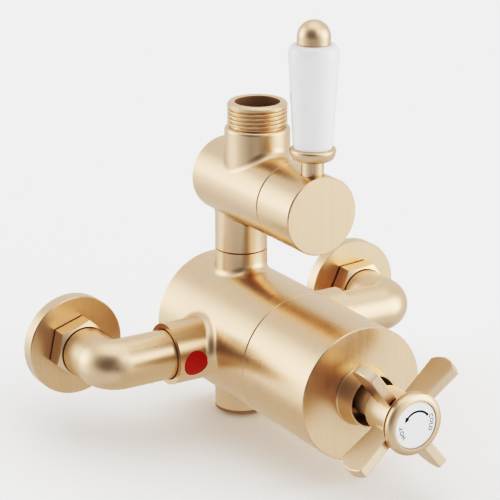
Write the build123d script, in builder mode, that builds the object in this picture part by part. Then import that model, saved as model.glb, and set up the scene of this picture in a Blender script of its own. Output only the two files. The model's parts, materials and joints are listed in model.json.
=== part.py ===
from build123d import *
import os
from math import cos, radians, sin, sqrt

# Wall-mounted mixing valve with a temperature knob, a flow lever and a threaded riser outlet.
# Frame: the origin lies on the wall midway between the two inlets, at their height.
# +X is to the user's right (the cold side), +Y goes into the wall and +Z is up.
# Lengths called "out" are measured out from the wall, along -Y. All sizes are millimetres.

os.makedirs("parts", exist_ok=True)

# Clearances
FIT = 0.05  # radial, between pieces that are screwed, pressed or sealed together
RUN = 0.08  # radial, round a turning spindle
AIR = 0.3  # between pieces that move past each other without bearing
EDGE = 0.4  # small turned chamfers
PAST = 1.0  # how far a cutter runs past the surface

# Mixing body: a round body whose axis stands out from the wall
BODY_AXIS_Z = 0.9
BODY_RADIUS = 29.6
BODY_BACK = 0.5
BODY_SEAM = 75.0
SEAM_EDGE = 0.4  # the two chamfers that show as the seam
BODY_FRONT = 122.8
BODY_SPIGOT = 13.0  # length of the body inside the front cover
COVER_WALL = 2.2
COVER_FACE = 3.0

# Inlets
INLET_SPACING = 150.0
INLET_OUT = 36.8
INLET_BOSS_RADIUS = 13.8
INLET_BOSS_END = 46.2  # from the middle of the body
INLET_FILLET = 4.5
TUBE_RADIUS = 11.2
TUBE_BORE = 8.0
ELBOW_BEND = 7.0  # less than the tube's radius, so the inner side is a mitre
SOCKET_DEPTH = 14.0
SOCKET_MOUTH = 2.0
SPIGOT_RADIUS = 10.6
GRUB_RADIUS = 2.0
GRUB_FROM_END = 8.0
MARKER_RADIUS = 5.85
MARKER_X = -38.5
MARKER_TURN = -7.2  # degrees above the front of the boss
MARKER_DEPTH = 0.5
MARKER_PROUD = 0.12

# Wall tails and their round plates
THREAD_RADIUS = 10.48  # G1/2 male thread, crest
THREAD_LENGTH = 14.0  # behind the wall face
THREAD_START = 1.0  # behind the wall face
UNDERCUT_RADIUS = 9.9
ROSE_RADIUS = 22.7
ROSE_DEPTH = 6.5
ROSE_WALL = 1.8
HEX_ACROSS = 24.6
HEX_SLOPE = 0.45  # fall of the turned front face per millimetre outward
HEX_STAND = 0.4  # gap between the hexagon and the rose
HEX_NECK = 11.6
HEX_LENGTH = 8.8
TAIL_BORE = 6.5
TAIL_SPIGOT_RADIUS = 9.0
TAIL_SPIGOT_LENGTH = 6.6
TAIL_MOUTH = 1.2
HEX_FLAT_UP = 90.0  # degrees
HOT_HEX_TURN = 17.6  # degrees, as the two were tightened
COLD_HEX_TURN = 4.0

# Riser boss, drain boss and the nipple between the two bodies
RISER_OUT = 25.5
RISER_BOSS_RADIUS = 11.8
RISER_SEAM_Z = 39.2
RISER_FILLET = 4.0
NIPPLE_RADIUS = 8.0
NIPPLE_BORE = 6.0
NIPPLE_REACH = 9.0  # into each body
DRAIN_BOSS_RADIUS = 12.1
DRAIN_END_Z = -38.7
DRAIN_FLANGE = 2.2
DRAIN_KEY_ACROSS = 8.0

# Cartridge of the mixing body
CHAMBER_RADIUS = 17.0
MIX_RADIUS = 13.0
MIX_LENGTH = 13.6
GALLERY_OFFSET = 3.6
GALLERY_WIDTH = 5.0
GALLERY_DEPTH = 1.6
SEAL_STEP = 7.25
SEAT_LAND = 1.95
SEAL_WIRE = 0.9
INLET_PORT = 3.0
MIX_PORT = 5.0
SHOULDER = 42.4  # from the cartridge seat to its flange
FLANGE_RADIUS = 18.9
FLANGE_THICK = 4.0
NOSE_RADIUS = 9.0
NOSE_BACK = 2.8  # from the body's front to the end of the nose
SLEEVE_BORE = 12.5
SLEEVE_LIP = 8.5
LIP_THICK = 1.4
KEYWAY = 3.6
KEY_ROOM = 1.4
NUT_BORE_START = 50.0
NUT_ROOM_END = 66.0
NUT_ROOM_RADIUS = 9.5
NUT_LENGTH = 10.0
NUT_GAP = 2.4
NUT_WALL = 1.5
SCREW_GAP = 1.2
SPOOL_WALL = 2.4
CAPSULE_HEAD = 7.5
WINDOW_LENGTH = 3.0
WINDOW_WIDTH = 8.0
SPOOL_LENGTH = 6.0
SPOOL_START = 34.0
CAPSULE_RADIUS = 6.0
CAPSULE_PIN = 1.8
CAPSULE_NECK = 3.6
SPRING_RADIUS = 10.6
SPRING_WIRE = 0.55
SPRING_TURNS = 2.0
LOCKNUT_ACROSS = 26.0
LOCKNUT_LENGTH = 9.0
LOCKNUT_HEAD = 6.0

# Temperature knob
COLLAR_BASE_RADIUS = 13.4
COLLAR_RIM_RADIUS = 11.6
COLLAR_BORE = 10.9
COLLAR_FLANGE = 1.2
COLLAR_LENGTH = 9.1
COLLAR_TAIL_RADIUS = 12.0
SPINDLE_RADIUS = 4.0
SPINDLE_SCREW = 4.6
SPINDLE_FLANGE = 2.2
SPINDLE_IN_HUB = 9.6
STOP_RADIUS = 7.3
STOP_LUG_RADIUS = 8.5
STOP_LENGTH = 4.0
STOP_RING_ARC = 49.0  # degrees
STOP_NOSE_ARC = 39.0
STOP_NOSE_AT = 270.0
STOP_RING_AT = 135.0
KNOB_GAP = 16.5  # from the body's front to the back of the hub
HUB_RADIUS = 9.9
HUB_LENGTH = 17.7
SHANK_RADIUS = 7.0
SHANK_GAP = 4.2
ARM_TURN = 38.1  # degrees above +X, of the first paddle
ARM_COUNT = 4
ARM_THICK = 4.8
ARM_ROOT_STEP = 5.7  # from the back of the hub to the root of a paddle
ARM_ROOT_WIDTH = 11.0
ARM_TIP_STEP = 3.8
ARM_TIP_WIDTH = 14.6
ARM_CORNER_REAR = 28.1
ARM_CORNER_FRONT = 28.9
ARM_REACH = 31.2
ARM_EDGE = 0.6
BEZEL_RADIUS = 13.6
BEZEL_BELLY_STEP = 2.9  # from the hub's front to the widest place
BEZEL_RING_RADIUS = 13.3
BEZEL_RING = 0.8
BEZEL_GROOVE_RADIUS = 12.8
BEZEL_GROOVE = 0.3
BEZEL_SHOULDER = 1.1
BEZEL_LENGTH = 5.0
BEZEL_NECK = 9.0
INDEX_RADIUS = 10.15
INDEX_THICK = 2.0
SCREW_RADIUS = 2.0
SCREW_HEAD = 3.5
SCREW_HEAD_LENGTH = 2.4
SCREW_SOCKET = 3.0
SCREW_SOCKET_DEPTH = 1.7
HUB_WEB = 2.0
HUB_RECESS = 5.5
ARM_ROOT = 2.0  # how far the paddles start inside the hub
SCREW_REACH = 9.0
COLLAR_LIP = 1.5
GRUB_SUNK = 0.6

# Flow valve above the mixing body
FLOW_AXIS_Z = 70.9
FLOW_RADIUS = 17.25
FLOW_BACK = 11.0
FLOW_SEAM = 66.2
FLOW_FRONT = 91.2
OUTLET_OUT = 39.2
OUTLET_NECK_RADIUS = 14.5
OUTLET_THREAD_RADIUS = 13.22  # G3/4 male thread, crest
OUTLET_BORE = 9.9
OUTLET_SHOULDER_Z = 99.0
OUTLET_END_Z = 110.0
OUTLET_FLOOR_Z = 86.0
OUTLET_FILLET = 4.0
NECK_FILLET = 2.4
SHOULDER_ROUND = 1.6
FLOW_SEAT = 33.5
FLOW_CHAMBER_RADIUS = 10.0
FLOW_CHAMBER_LENGTH = 15.0
FLOW_CARTRIDGE_RADIUS = 12.0
FLOW_CARTRIDGE_LENGTH = 24.5
FLOW_NUT_RADIUS = 14.5
FLOW_FLANGE = 2.0
FLOW_PORT_RADIUS = 4.8
FLOW_PORT_STEP = 4.7
DISC_RADIUS = 9.95
DISC_THICK = 3.0
DISC_SLOT = 4.0
FORK_WIDTH = 5.0
FORK_LENGTH = 15.0
FORK_THICK = 2.0
FORK_TONGUE = 1.0
FLOW_SHELL_BORE = 10.1
FLOW_FRONT_WALL = 6.5
FLOW_NUT_ACROSS = 19.0
FLOW_NUT_HEAD = 3.3
FLOW_SEAL_WIRE = 0.75
FLOW_COLLAR_RADIUS = 6.4

# Lever
LEVER_OUT = 83.6
LEVER_RECESS_RADIUS = 12.8
LEVER_RECESS = 4.0
STEM_RADIUS = 4.85
STEM_SEAT_Z = 82.0
STEM_THREAD_RADIUS = 4.0
STEM_THREAD = 5.6
CUP_BOTTOM_Z = 94.2
CUP_BELLY_Z = 97.0
CUP_BELLY_RADIUS = 9.65
CUP_FLOOR_Z = 96.6
CUP_RIM_Z = 99.6
GRIP_FOOT_RADIUS = 8.25
GRIP_BELLY_RADIUS = 10.66
GRIP_BELLY_Z = 138.6
GRIP_TOP_Z = 144.3
GRIP_TOP_RADIUS = 7.4
GRIP_BORE = 3.2
FINIAL_RADIUS = 7.13
FINIAL_LENGTH = 10.1
ROD_RADIUS = 2.5
ROD_IN_STEM = 9.0
ROD_IN_FINIAL = 5.6
LEVER_GRUB_OUT = 75.5
LEVER_GRUB_LENGTH = 9.8

# Check valves and strainers in the inlet bosses
CHECK_RADIUS = 9.4
CHECK_LENGTH = 9.0
CHECK_PLENUM = 1.2
CHECK_WALL = 1.5
CHECK_CHAMBER = 7.5
CHECK_SEAT = 5.0
CHECK_OUTLET = 4.0
CHECK_GUIDE = 2.4
CHECK_SPOKE = 1.2
POPPET_RADIUS = 6.3
POPPET_THICK = 1.4
POPPET_STEM = 1.2
POPPET_STEM_LENGTH = 4.5
CHECK_SPRING_RADIUS = 5.0
CHECK_SPRING_WIRE = 0.4
CHECK_SPRING_TURNS = 2.0
STRAINER_FLANGE = 1.2
STRAINER_RADIUS = 6.4
STRAINER_LENGTH = 7.0
STRAINER_WALL = 0.8
STRAINER_SLOTS = 6
STRAINER_SLOT = 1.6

# Places worked out from the sizes above
SEAT = INLET_OUT - SEAL_STEP - SEAT_LAND  # where the cartridge stands in the body
FLANGE_OUT = SEAT + SHOULDER
NOSE_END = BODY_FRONT - NOSE_BACK
COLLAR_RIM = BODY_FRONT + COLLAR_LENGTH
SHANK_START = BODY_FRONT + SHANK_GAP
HUB_REAR = BODY_FRONT + KNOB_GAP
HUB_FRONT = HUB_REAR + HUB_LENGTH
ARM_ROOT_REAR = HUB_REAR + ARM_ROOT_STEP
ARM_ROOT_FRONT = ARM_ROOT_REAR + ARM_ROOT_WIDTH
ARM_TIP_REAR = HUB_REAR + ARM_TIP_STEP
ARM_TIP_FRONT = ARM_TIP_REAR + ARM_TIP_WIDTH
BEZEL_BELLY = HUB_FRONT + BEZEL_BELLY_STEP
BEZEL_FRONT = HUB_FRONT + BEZEL_LENGTH
MIX_FLOOR = SEAT - MIX_LENGTH
SPIGOT_END = BODY_SEAM + BODY_SPIGOT
COVER_BORE = BODY_RADIUS - COVER_WALL
MIX_PORT_OUT = SEAT - MIX_PORT - FIT * 2
DRAIN_FACE_Z = DRAIN_END_Z + DRAIN_FLANGE
SOCKET_FLOOR = INLET_BOSS_END - SOCKET_DEPTH
CHECK_FLOOR = SOCKET_FLOOR - STRAINER_FLANGE - CHECK_LENGTH - CHECK_PLENUM
CHECK_START = CHECK_FLOOR + CHECK_PLENUM
CHECK_END = CHECK_START + CHECK_LENGTH
GALLERY_RADIUS = CHAMBER_RADIUS + GALLERY_DEPTH
HEX_FRONT = ROSE_DEPTH + HEX_LENGTH
FLOW_SHOULDER = FLOW_SEAT + FLOW_CARTRIDGE_LENGTH
FLOW_PORT_OUT = OUTLET_OUT + FLOW_PORT_STEP
SPINDLE_END = HUB_REAR + SPINDLE_IN_HUB
WEB_FRONT = SPINDLE_END + HUB_WEB
INDEX_SEAT = BEZEL_FRONT - INDEX_THICK - EDGE
INLET_X = INLET_SPACING / 2
FINIAL_TOP_Z = GRIP_TOP_Z + FINIAL_LENGTH
SPINDLE_SHOULDER = NUT_ROOM_END - RUN
SEAL_GROOVE = 2 * SEAL_WIRE + 0.5
SEAL_SPAN = 2 * SEAL_WIRE + FIT  # from a groove's floor to the bore that the ring touches
SEAL_GROOVE_FLOOR = CHAMBER_RADIUS - SEAL_SPAN
TAIL_SEAL_FLOOR = TAIL_SPIGOT_RADIUS + FIT - SEAL_SPAN
ELBOW_SEAL_FLOOR = SPIGOT_RADIUS + FIT - SEAL_SPAN
ELBOW_SEAL_PLACE = SOCKET_FLOOR + 2 * SEAL_WIRE
NIPPLE_SEAL_FLOOR = NIPPLE_RADIUS + FIT - SEAL_SPAN
PLUG_SEAL_PLACE = DRAIN_FACE_Z + NIPPLE_REACH / 2


def body_line(out=0.0, x=0.0, z=0.0):
    """A plane whose x direction runs out from the wall and whose y direction is up."""
    return Plane(origin=(x, -out, z), x_dir=(0, -1, 0), z_dir=(-1, 0, 0))


def upright_line(out):
    """A plane whose x direction is up and whose y direction is to the right."""
    return Plane(origin=(0, -out, 0), x_dir=(0, 0, 1), z_dir=(0, 1, 0))


def inlet_line(side):
    """A plane whose x direction runs from the body out to the inlet on one side."""
    return Plane(origin=(0, -INLET_OUT, 0), x_dir=(side, 0, 0), z_dir=(0, -side, 0))


MIX_AXIS = body_line(z=BODY_AXIS_Z)
FLOW_AXIS = body_line(z=FLOW_AXIS_Z)
RISER_AXIS = upright_line(RISER_OUT)
OUTLET_AXIS = upright_line(OUTLET_OUT)
LEVER_AXIS = upright_line(LEVER_OUT)


def axis_of(plane):
    """The axis along a plane's x direction."""
    return Axis(plane.origin, plane.x_dir)


def across(plane, distance, turn=0.0):
    """The plane that stands across a line at a distance along it."""
    place = plane.from_local_coords(Vector(distance, 0, 0))
    sideways = plane.y_dir * cos(radians(turn)) + plane.z_dir * sin(radians(turn))
    return Plane(origin=place, x_dir=sideways, z_dir=plane.x_dir)


def turned(plane, points, mode=Mode.ADD):
    """Revolve a closed outline of (along, radius) points about a line."""
    with BuildSketch(plane) as outline:
        with BuildLine():
            Polyline(*points, close=True)
        make_face()
    revolve(outline.sketch, axis=axis_of(plane), mode=mode)


def barrel(plane, start, end, radius, mode=Mode.ADD):
    """A plain cylinder along a line."""
    with BuildSketch(across(plane, start)) as disc:
        Circle(radius)
    extrude(disc.sketch, amount=end - start, mode=mode)


def tube(plane, start, end, radius, bore, mode=Mode.ADD):
    """A plain ring or tube along a line."""
    with BuildSketch(across(plane, start)) as ring:
        Circle(radius)
        Circle(bore, mode=Mode.SUBTRACT)
    extrude(ring.sketch, amount=end - start, mode=mode)


def hexagon(plane, start, end, width, turn=0.0, mode=Mode.ADD):
    """A hexagonal bar along a line, given its width across the flats."""
    with BuildSketch(across(plane, start)) as flats:
        RegularPolygon(radius=width / 2, side_count=6, major_radius=False, rotation=turn)
    extrude(flats.sketch, amount=end - start, mode=mode)


def bar(plane, start, end, width, height, mode=Mode.ADD):
    """A rectangular bar along a line, width along the plane's y direction."""
    with BuildSketch(across(plane, start)) as section:
        Rectangle(width, height)
    extrude(section.sketch, amount=end - start, mode=mode)


def o_ring(plane, place, inner, outer, wire):
    """A rubber ring midway between two walls."""
    middle = (inner + outer) / 2
    with BuildSketch(plane) as section:
        with Locations((place, middle)):
            Circle(wire)
    revolve(section.sketch, axis=axis_of(plane))


def groove(plane, place, width, inner, outer):
    """A square groove cut round a turned piece."""
    tube(plane, place - width / 2, place + width / 2, outer, inner, mode=Mode.SUBTRACT)


def coil(plane, start, length, radius, wire, turns):
    """A round-wire compression spring along a line."""
    free = length - 2 * wire
    base = plane.from_local_coords(Vector(start + wire, 0, 0))
    with BuildLine() as wire_line:
        Helix(pitch=free / turns, height=free, radius=radius, center=base, direction=plane.x_dir)
    path = wire_line.line
    with BuildSketch(Plane(origin=path @ 0, z_dir=path % 0)) as section:
        RegularPolygon(radius=wire, side_count=8)
    sweep(section.sketch, path=path, is_frenet=True)


def save(builder, name):
    """Label a finished piece and write it out."""
    builder.part.label = name
    export_step(builder.part, "parts/" + name + ".step")


def wedge(arc):
    """A triangle from the middle that spans an arc in degrees, half to each side."""
    reach = 3 * NOSE_RADIUS
    half = radians(arc / 2)
    tips = [(reach * cos(half), side * reach * sin(half)) for side in (-1, 1)]
    return Polyline((0, 0), *tips, close=True)


def axis_point(point):
    """The point of the mixing body's axis that is level with a point."""
    return Vector(0, point.Y, BODY_AXIS_Z)


# Red marker of the hot side: a disc of enamel let into the front of the hot boss
with BuildPart() as hot_marker:
    marker_plane = Plane(origin=(MARKER_X, -INLET_OUT, 0), x_dir=(1, 0, 0), z_dir=(0, -1, 0))
    marker_plane = marker_plane.rotated((-MARKER_TURN, 0, 0))
    with BuildSketch(marker_plane):
        Circle(MARKER_RADIUS)
    extrude(amount=INLET_BOSS_RADIUS + MARKER_DEPTH)
    hot_line = inlet_line(-1)
    barrel(hot_line, 0, INLET_BOSS_END, INLET_BOSS_RADIUS + MARKER_PROUD, mode=Mode.INTERSECT)
    barrel(hot_line, 0, INLET_BOSS_END, INLET_BOSS_RADIUS - MARKER_DEPTH, mode=Mode.SUBTRACT)
save(hot_marker, "hot_marker")

# Mixer body: turned body, two inlet bosses, riser boss and drain boss, then all the bores
with BuildPart() as mixer_body:
    turned(
        MIX_AXIS,
        [
            (BODY_BACK, 0),
            (BODY_BACK, BODY_RADIUS - EDGE),
            (BODY_BACK + EDGE, BODY_RADIUS),
            (BODY_SEAM - SEAM_EDGE, BODY_RADIUS),
            (BODY_SEAM, BODY_RADIUS - SEAM_EDGE),
            (BODY_SEAM, 0),
        ],
    )
    for side in (-1, 1):
        barrel(inlet_line(side), 0, INLET_BOSS_END, INLET_BOSS_RADIUS)
        meeting = mixer_body.edges(Select.LAST).filter_by(GeomType.CIRCLE, reverse=True)
        fillet(meeting.filter_by(GeomType.LINE, reverse=True), INLET_FILLET)
    barrel(RISER_AXIS, BODY_AXIS_Z, RISER_SEAM_Z, RISER_BOSS_RADIUS)
    meeting = mixer_body.edges(Select.LAST).filter_by(GeomType.CIRCLE, reverse=True)
    fillet(meeting.filter_by(GeomType.LINE, reverse=True), RISER_FILLET)
    barrel(RISER_AXIS, BODY_AXIS_Z, DRAIN_FACE_Z, DRAIN_BOSS_RADIUS)
    meeting = mixer_body.edges(Select.LAST).filter_by(GeomType.CIRCLE, reverse=True)
    fillet(meeting.filter_by(GeomType.LINE, reverse=True), RISER_FILLET)
    tube(MIX_AXIS, BODY_SEAM, SPIGOT_END, COVER_BORE - FIT, FLANGE_RADIUS + FIT)
    barrel(MIX_AXIS, FLANGE_OUT, SPIGOT_END, FLANGE_RADIUS + FIT, mode=Mode.SUBTRACT)
    barrel(MIX_AXIS, SEAT, FLANGE_OUT, CHAMBER_RADIUS, mode=Mode.SUBTRACT)
    barrel(MIX_AXIS, MIX_FLOOR, SEAT, MIX_RADIUS, mode=Mode.SUBTRACT)
    for side in (-1, 1):
        gallery = INLET_OUT - side * GALLERY_OFFSET
        half = GALLERY_WIDTH / 2
        barrel(MIX_AXIS, gallery - half, gallery + half, GALLERY_RADIUS, mode=Mode.SUBTRACT)
        line = inlet_line(side)
        mouth = INLET_BOSS_END - SOCKET_MOUTH
        barrel(line, mouth, INLET_BOSS_END, TUBE_RADIUS + AIR, mode=Mode.SUBTRACT)
        barrel(line, SOCKET_FLOOR, mouth, SPIGOT_RADIUS + FIT, mode=Mode.SUBTRACT)
        barrel(line, CHECK_FLOOR, SOCKET_FLOOR, CHECK_RADIUS + FIT, mode=Mode.SUBTRACT)
        port = Plane(origin=(0, -gallery, 0), x_dir=line.x_dir, z_dir=line.z_dir)
        barrel(port, CHAMBER_RADIUS + GALLERY_DEPTH / 2, CHECK_FLOOR, INLET_PORT, mode=Mode.SUBTRACT)
        grub_x = side * (INLET_BOSS_END - GRUB_FROM_END)
        grub = Plane(origin=(grub_x, -INLET_OUT, 0), x_dir=(0, 0, -1), z_dir=(0, 1, 0))
        barrel(grub, SPIGOT_RADIUS, INLET_BOSS_RADIUS + PAST, GRUB_RADIUS + FIT, mode=Mode.SUBTRACT)
    floor = NIPPLE_REACH + FIT
    barrel(RISER_AXIS, RISER_SEAM_Z - floor, RISER_SEAM_Z, NIPPLE_RADIUS + FIT, mode=Mode.SUBTRACT)
    barrel(RISER_AXIS, DRAIN_FACE_Z, DRAIN_FACE_Z + floor, NIPPLE_RADIUS + FIT, mode=Mode.SUBTRACT)
    ports = upright_line(MIX_PORT_OUT)
    barrel(ports, DRAIN_FACE_Z + floor / 2, RISER_SEAM_Z - floor / 2, MIX_PORT, mode=Mode.SUBTRACT)
    add(hot_marker.part, mode=Mode.SUBTRACT)
save(mixer_body, "mixer_body")

# Front cover: a thin sleeve over the body's spigot, closed by the flat face
with BuildPart() as front_cover:
    turned(
        MIX_AXIS,
        [
            (BODY_SEAM, COVER_BORE),
            (BODY_SEAM, BODY_RADIUS - SEAM_EDGE),
            (BODY_SEAM + SEAM_EDGE, BODY_RADIUS),
            (BODY_FRONT - EDGE, BODY_RADIUS),
            (BODY_FRONT, BODY_RADIUS - EDGE),
            (BODY_FRONT, COLLAR_TAIL_RADIUS + FIT),
            (BODY_FRONT - COVER_FACE, COLLAR_TAIL_RADIUS + FIT),
            (BODY_FRONT - COVER_FACE, COVER_BORE),
        ],
    )
save(front_cover, "front_cover")

# Cartridge housing: sleeve with the water windows, flange, and the long nose of the spindle
with BuildPart() as cartridge_housing:
    barrel(MIX_AXIS, SEAT, FLANGE_OUT, CHAMBER_RADIUS - FIT)
    barrel(MIX_AXIS, FLANGE_OUT, FLANGE_OUT + FLANGE_THICK, FLANGE_RADIUS)
    barrel(MIX_AXIS, FLANGE_OUT + FLANGE_THICK, NOSE_END, NOSE_RADIUS)
    nose_lug_bore = STOP_RADIUS + AIR
    with BuildSketch(across(MIX_AXIS, NOSE_END, STOP_NOSE_AT)):
        Circle(NOSE_RADIUS)
        Circle(nose_lug_bore, mode=Mode.SUBTRACT)
        with BuildLine():
            wedge(STOP_NOSE_ARC)
        make_face(mode=Mode.INTERSECT)
    extrude(amount=STOP_LENGTH)
    barrel(MIX_AXIS, SEAT, SEAT + LIP_THICK, SLEEVE_LIP, mode=Mode.SUBTRACT)
    barrel(MIX_AXIS, SEAT + LIP_THICK, NUT_BORE_START, SLEEVE_BORE, mode=Mode.SUBTRACT)
    barrel(MIX_AXIS, NUT_BORE_START, NUT_ROOM_END, NUT_ROOM_RADIUS, mode=Mode.SUBTRACT)
    barrel(MIX_AXIS, NUT_ROOM_END, NOSE_END, SPINDLE_RADIUS + RUN, mode=Mode.SUBTRACT)
    key_span = 2 * (NUT_ROOM_RADIUS + KEY_ROOM)
    bar(MIX_AXIS, NUT_BORE_START, NUT_ROOM_END, key_span, KEYWAY, mode=Mode.SUBTRACT)
    for gallery in (INLET_OUT - GALLERY_OFFSET, INLET_OUT + GALLERY_OFFSET):
        start = gallery - WINDOW_LENGTH / 2
        end = gallery + WINDOW_LENGTH / 2
        bar(MIX_AXIS, start, end, 3 * CHAMBER_RADIUS, WINDOW_WIDTH, mode=Mode.SUBTRACT)
        bar(MIX_AXIS, start, end, WINDOW_WIDTH, 3 * CHAMBER_RADIUS, mode=Mode.SUBTRACT)
    for step in (-1, 0, 1):
        place = INLET_OUT + step * SEAL_STEP
        groove(MIX_AXIS, place, SEAL_GROOVE, SEAL_GROOVE_FLOOR, CHAMBER_RADIUS + PAST)
save(cartridge_housing, "cartridge_housing")

# Three rubber rings between the cartridge and the body
with BuildPart() as cartridge_seals:
    for step in (-1, 0, 1):
        place = INLET_OUT + step * SEAL_STEP
        o_ring(MIX_AXIS, place, SEAL_GROOVE_FLOOR, CHAMBER_RADIUS, SEAL_WIRE)
save(cartridge_seals, "cartridge_seals")

# Lock nut that holds the cartridge down in the body
with BuildPart() as cartridge_nut:
    nut_back = FLANGE_OUT + FLANGE_THICK
    barrel(MIX_AXIS, nut_back, nut_back + LOCKNUT_LENGTH, FLANGE_RADIUS)
    nut_front = nut_back + LOCKNUT_LENGTH + LOCKNUT_HEAD
    hexagon(MIX_AXIS, nut_back + LOCKNUT_LENGTH, nut_front, LOCKNUT_ACROSS)
    barrel(MIX_AXIS, nut_back, nut_front, NOSE_RADIUS + AIR, mode=Mode.SUBTRACT)
save(cartridge_nut, "cartridge_nut")

# Adjusting nut: turned by nothing, pushed along by the spindle's screw, kept from turning by two keys
with BuildPart() as adjusting_nut:
    nut_end = SPINDLE_SHOULDER - SPINDLE_FLANGE - NUT_GAP
    nut_start = nut_end - NUT_LENGTH
    barrel(MIX_AXIS, nut_start, nut_end, NUT_ROOM_RADIUS - AIR)
    key_width = 2 * (NUT_ROOM_RADIUS + KEY_ROOM - AIR)
    bar(MIX_AXIS, nut_start, nut_end, key_width, KEYWAY - 2 * AIR)
    barrel(MIX_AXIS, nut_start + NUT_WALL, nut_end, SPINDLE_SCREW + RUN, mode=Mode.SUBTRACT)
save(adjusting_nut, "adjusting_nut")

# Temperature spindle: screw, bearing flange and the long shaft to the knob
with BuildPart() as temperature_spindle:
    screw_start = nut_start + NUT_WALL + SCREW_GAP
    barrel(MIX_AXIS, screw_start, SPINDLE_SHOULDER, SPINDLE_SCREW)
    flange_start = SPINDLE_SHOULDER - SPINDLE_FLANGE
    barrel(MIX_AXIS, flange_start, SPINDLE_SHOULDER, NUT_ROOM_RADIUS - AIR)
    barrel(MIX_AXIS, SPINDLE_SHOULDER, SPINDLE_END, SPINDLE_RADIUS)
    barrel(MIX_AXIS, SPINDLE_END - SCREW_REACH, SPINDLE_END, SCREW_RADIUS + FIT, mode=Mode.SUBTRACT)
    chamfer(temperature_spindle.faces().sort_by(Axis.Y)[-1].edges(), EDGE)
save(temperature_spindle, "temperature_spindle")

# Stop ring on the spindle: its lug meets the lug on the nose at the hot and cold ends
with BuildPart() as stop_ring:
    ring_start = NOSE_END + FIT * 2
    with BuildSketch(across(MIX_AXIS, ring_start, STOP_RING_AT)):
        Circle(STOP_LUG_RADIUS)
        Circle(STOP_RADIUS - PAST, mode=Mode.SUBTRACT)
        with BuildLine():
            wedge(STOP_RING_ARC)
        make_face(mode=Mode.INTERSECT)
    extrude(amount=STOP_LENGTH)
    tube(MIX_AXIS, ring_start, ring_start + STOP_LENGTH, STOP_RADIUS, SPINDLE_RADIUS + FIT)
save(stop_ring, "stop_ring")

# Wax capsule: its body sits in the shuttle, and its pin pushes on the adjusting nut
with BuildPart() as wax_capsule:
    spool_end = SPOOL_START + SPOOL_LENGTH
    neck_end = nut_start - 2 * LIP_THICK
    turned(
        MIX_AXIS,
        [
            (SPOOL_START, 0),
            (SPOOL_START, CAPSULE_RADIUS - EDGE),
            (SPOOL_START + EDGE, CAPSULE_RADIUS),
            (spool_end, CAPSULE_RADIUS),
            (spool_end, CAPSULE_HEAD),
            (spool_end + LIP_THICK, CAPSULE_HEAD),
            (spool_end + LIP_THICK, CAPSULE_RADIUS),
            (neck_end - 2 * LIP_THICK, CAPSULE_RADIUS),
            (neck_end - LIP_THICK, CAPSULE_NECK),
            (neck_end, CAPSULE_NECK),
            (neck_end, CAPSULE_PIN),
            (nut_start, CAPSULE_PIN),
            (nut_start, 0),
        ],
    )
save(wax_capsule, "wax_capsule")

# Shuttle: the spool that opens one gallery as it closes the other
with BuildPart() as shuttle_piston:
    rim = SLEEVE_BORE - RUN
    tube(MIX_AXIS, SPOOL_START, spool_end, rim, rim - SPOOL_WALL)
    bar(MIX_AXIS, SPOOL_START, spool_end, 2 * rim - SPOOL_WALL, SPOOL_WALL)
    bar(MIX_AXIS, SPOOL_START, spool_end, SPOOL_WALL, 2 * rim - SPOOL_WALL)
    barrel(MIX_AXIS, SPOOL_START, spool_end, CAPSULE_HEAD)
    barrel(MIX_AXIS, SPOOL_START, spool_end, CAPSULE_RADIUS + FIT, mode=Mode.SUBTRACT)
save(shuttle_piston, "shuttle_piston")

# Return spring behind the shuttle
with BuildPart() as return_spring:
    spring_seat = SEAT + LIP_THICK
    coil(MIX_AXIS, spring_seat, SPOOL_START - spring_seat, SPRING_RADIUS, SPRING_WIRE, SPRING_TURNS)
save(return_spring, "return_spring")

# Collar screwed into the front cover, open to the front round the spindle
with BuildPart() as knob_collar:
    cup_back = BODY_FRONT + COLLAR_FLANGE
    with BuildSketch(MIX_AXIS):
        with BuildLine():
            Polyline(
                (cup_back, COLLAR_BASE_RADIUS - EDGE),
                (cup_back - EDGE, COLLAR_BASE_RADIUS),
                (BODY_FRONT, COLLAR_BASE_RADIUS),
                (BODY_FRONT, COLLAR_TAIL_RADIUS),
                (BODY_FRONT - COVER_FACE, COLLAR_TAIL_RADIUS),
                (BODY_FRONT - COVER_FACE - COLLAR_LIP, COLLAR_TAIL_RADIUS - EDGE),
                (BODY_FRONT - COVER_FACE - COLLAR_LIP, NOSE_RADIUS + FIT),
                (NOSE_END, NOSE_RADIUS + FIT),
                (NOSE_END, COLLAR_BORE),
                (COLLAR_RIM, COLLAR_BORE),
                (COLLAR_RIM, COLLAR_RIM_RADIUS - EDGE / 2),
                (COLLAR_RIM - EDGE / 2, COLLAR_RIM_RADIUS),
            )
            flare_radius = (COLLAR_BASE_RADIUS + COLLAR_RIM_RADIUS) / 2 - EDGE
            flare_middle = ((cup_back + COLLAR_RIM) / 2, flare_radius)
            rim_point = (COLLAR_RIM - EDGE / 2, COLLAR_RIM_RADIUS)
            ThreePointArc(rim_point, flare_middle, (cup_back, COLLAR_BASE_RADIUS - EDGE))
        make_face()
    revolve(axis=axis_of(MIX_AXIS))
save(knob_collar, "knob_collar")

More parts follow.
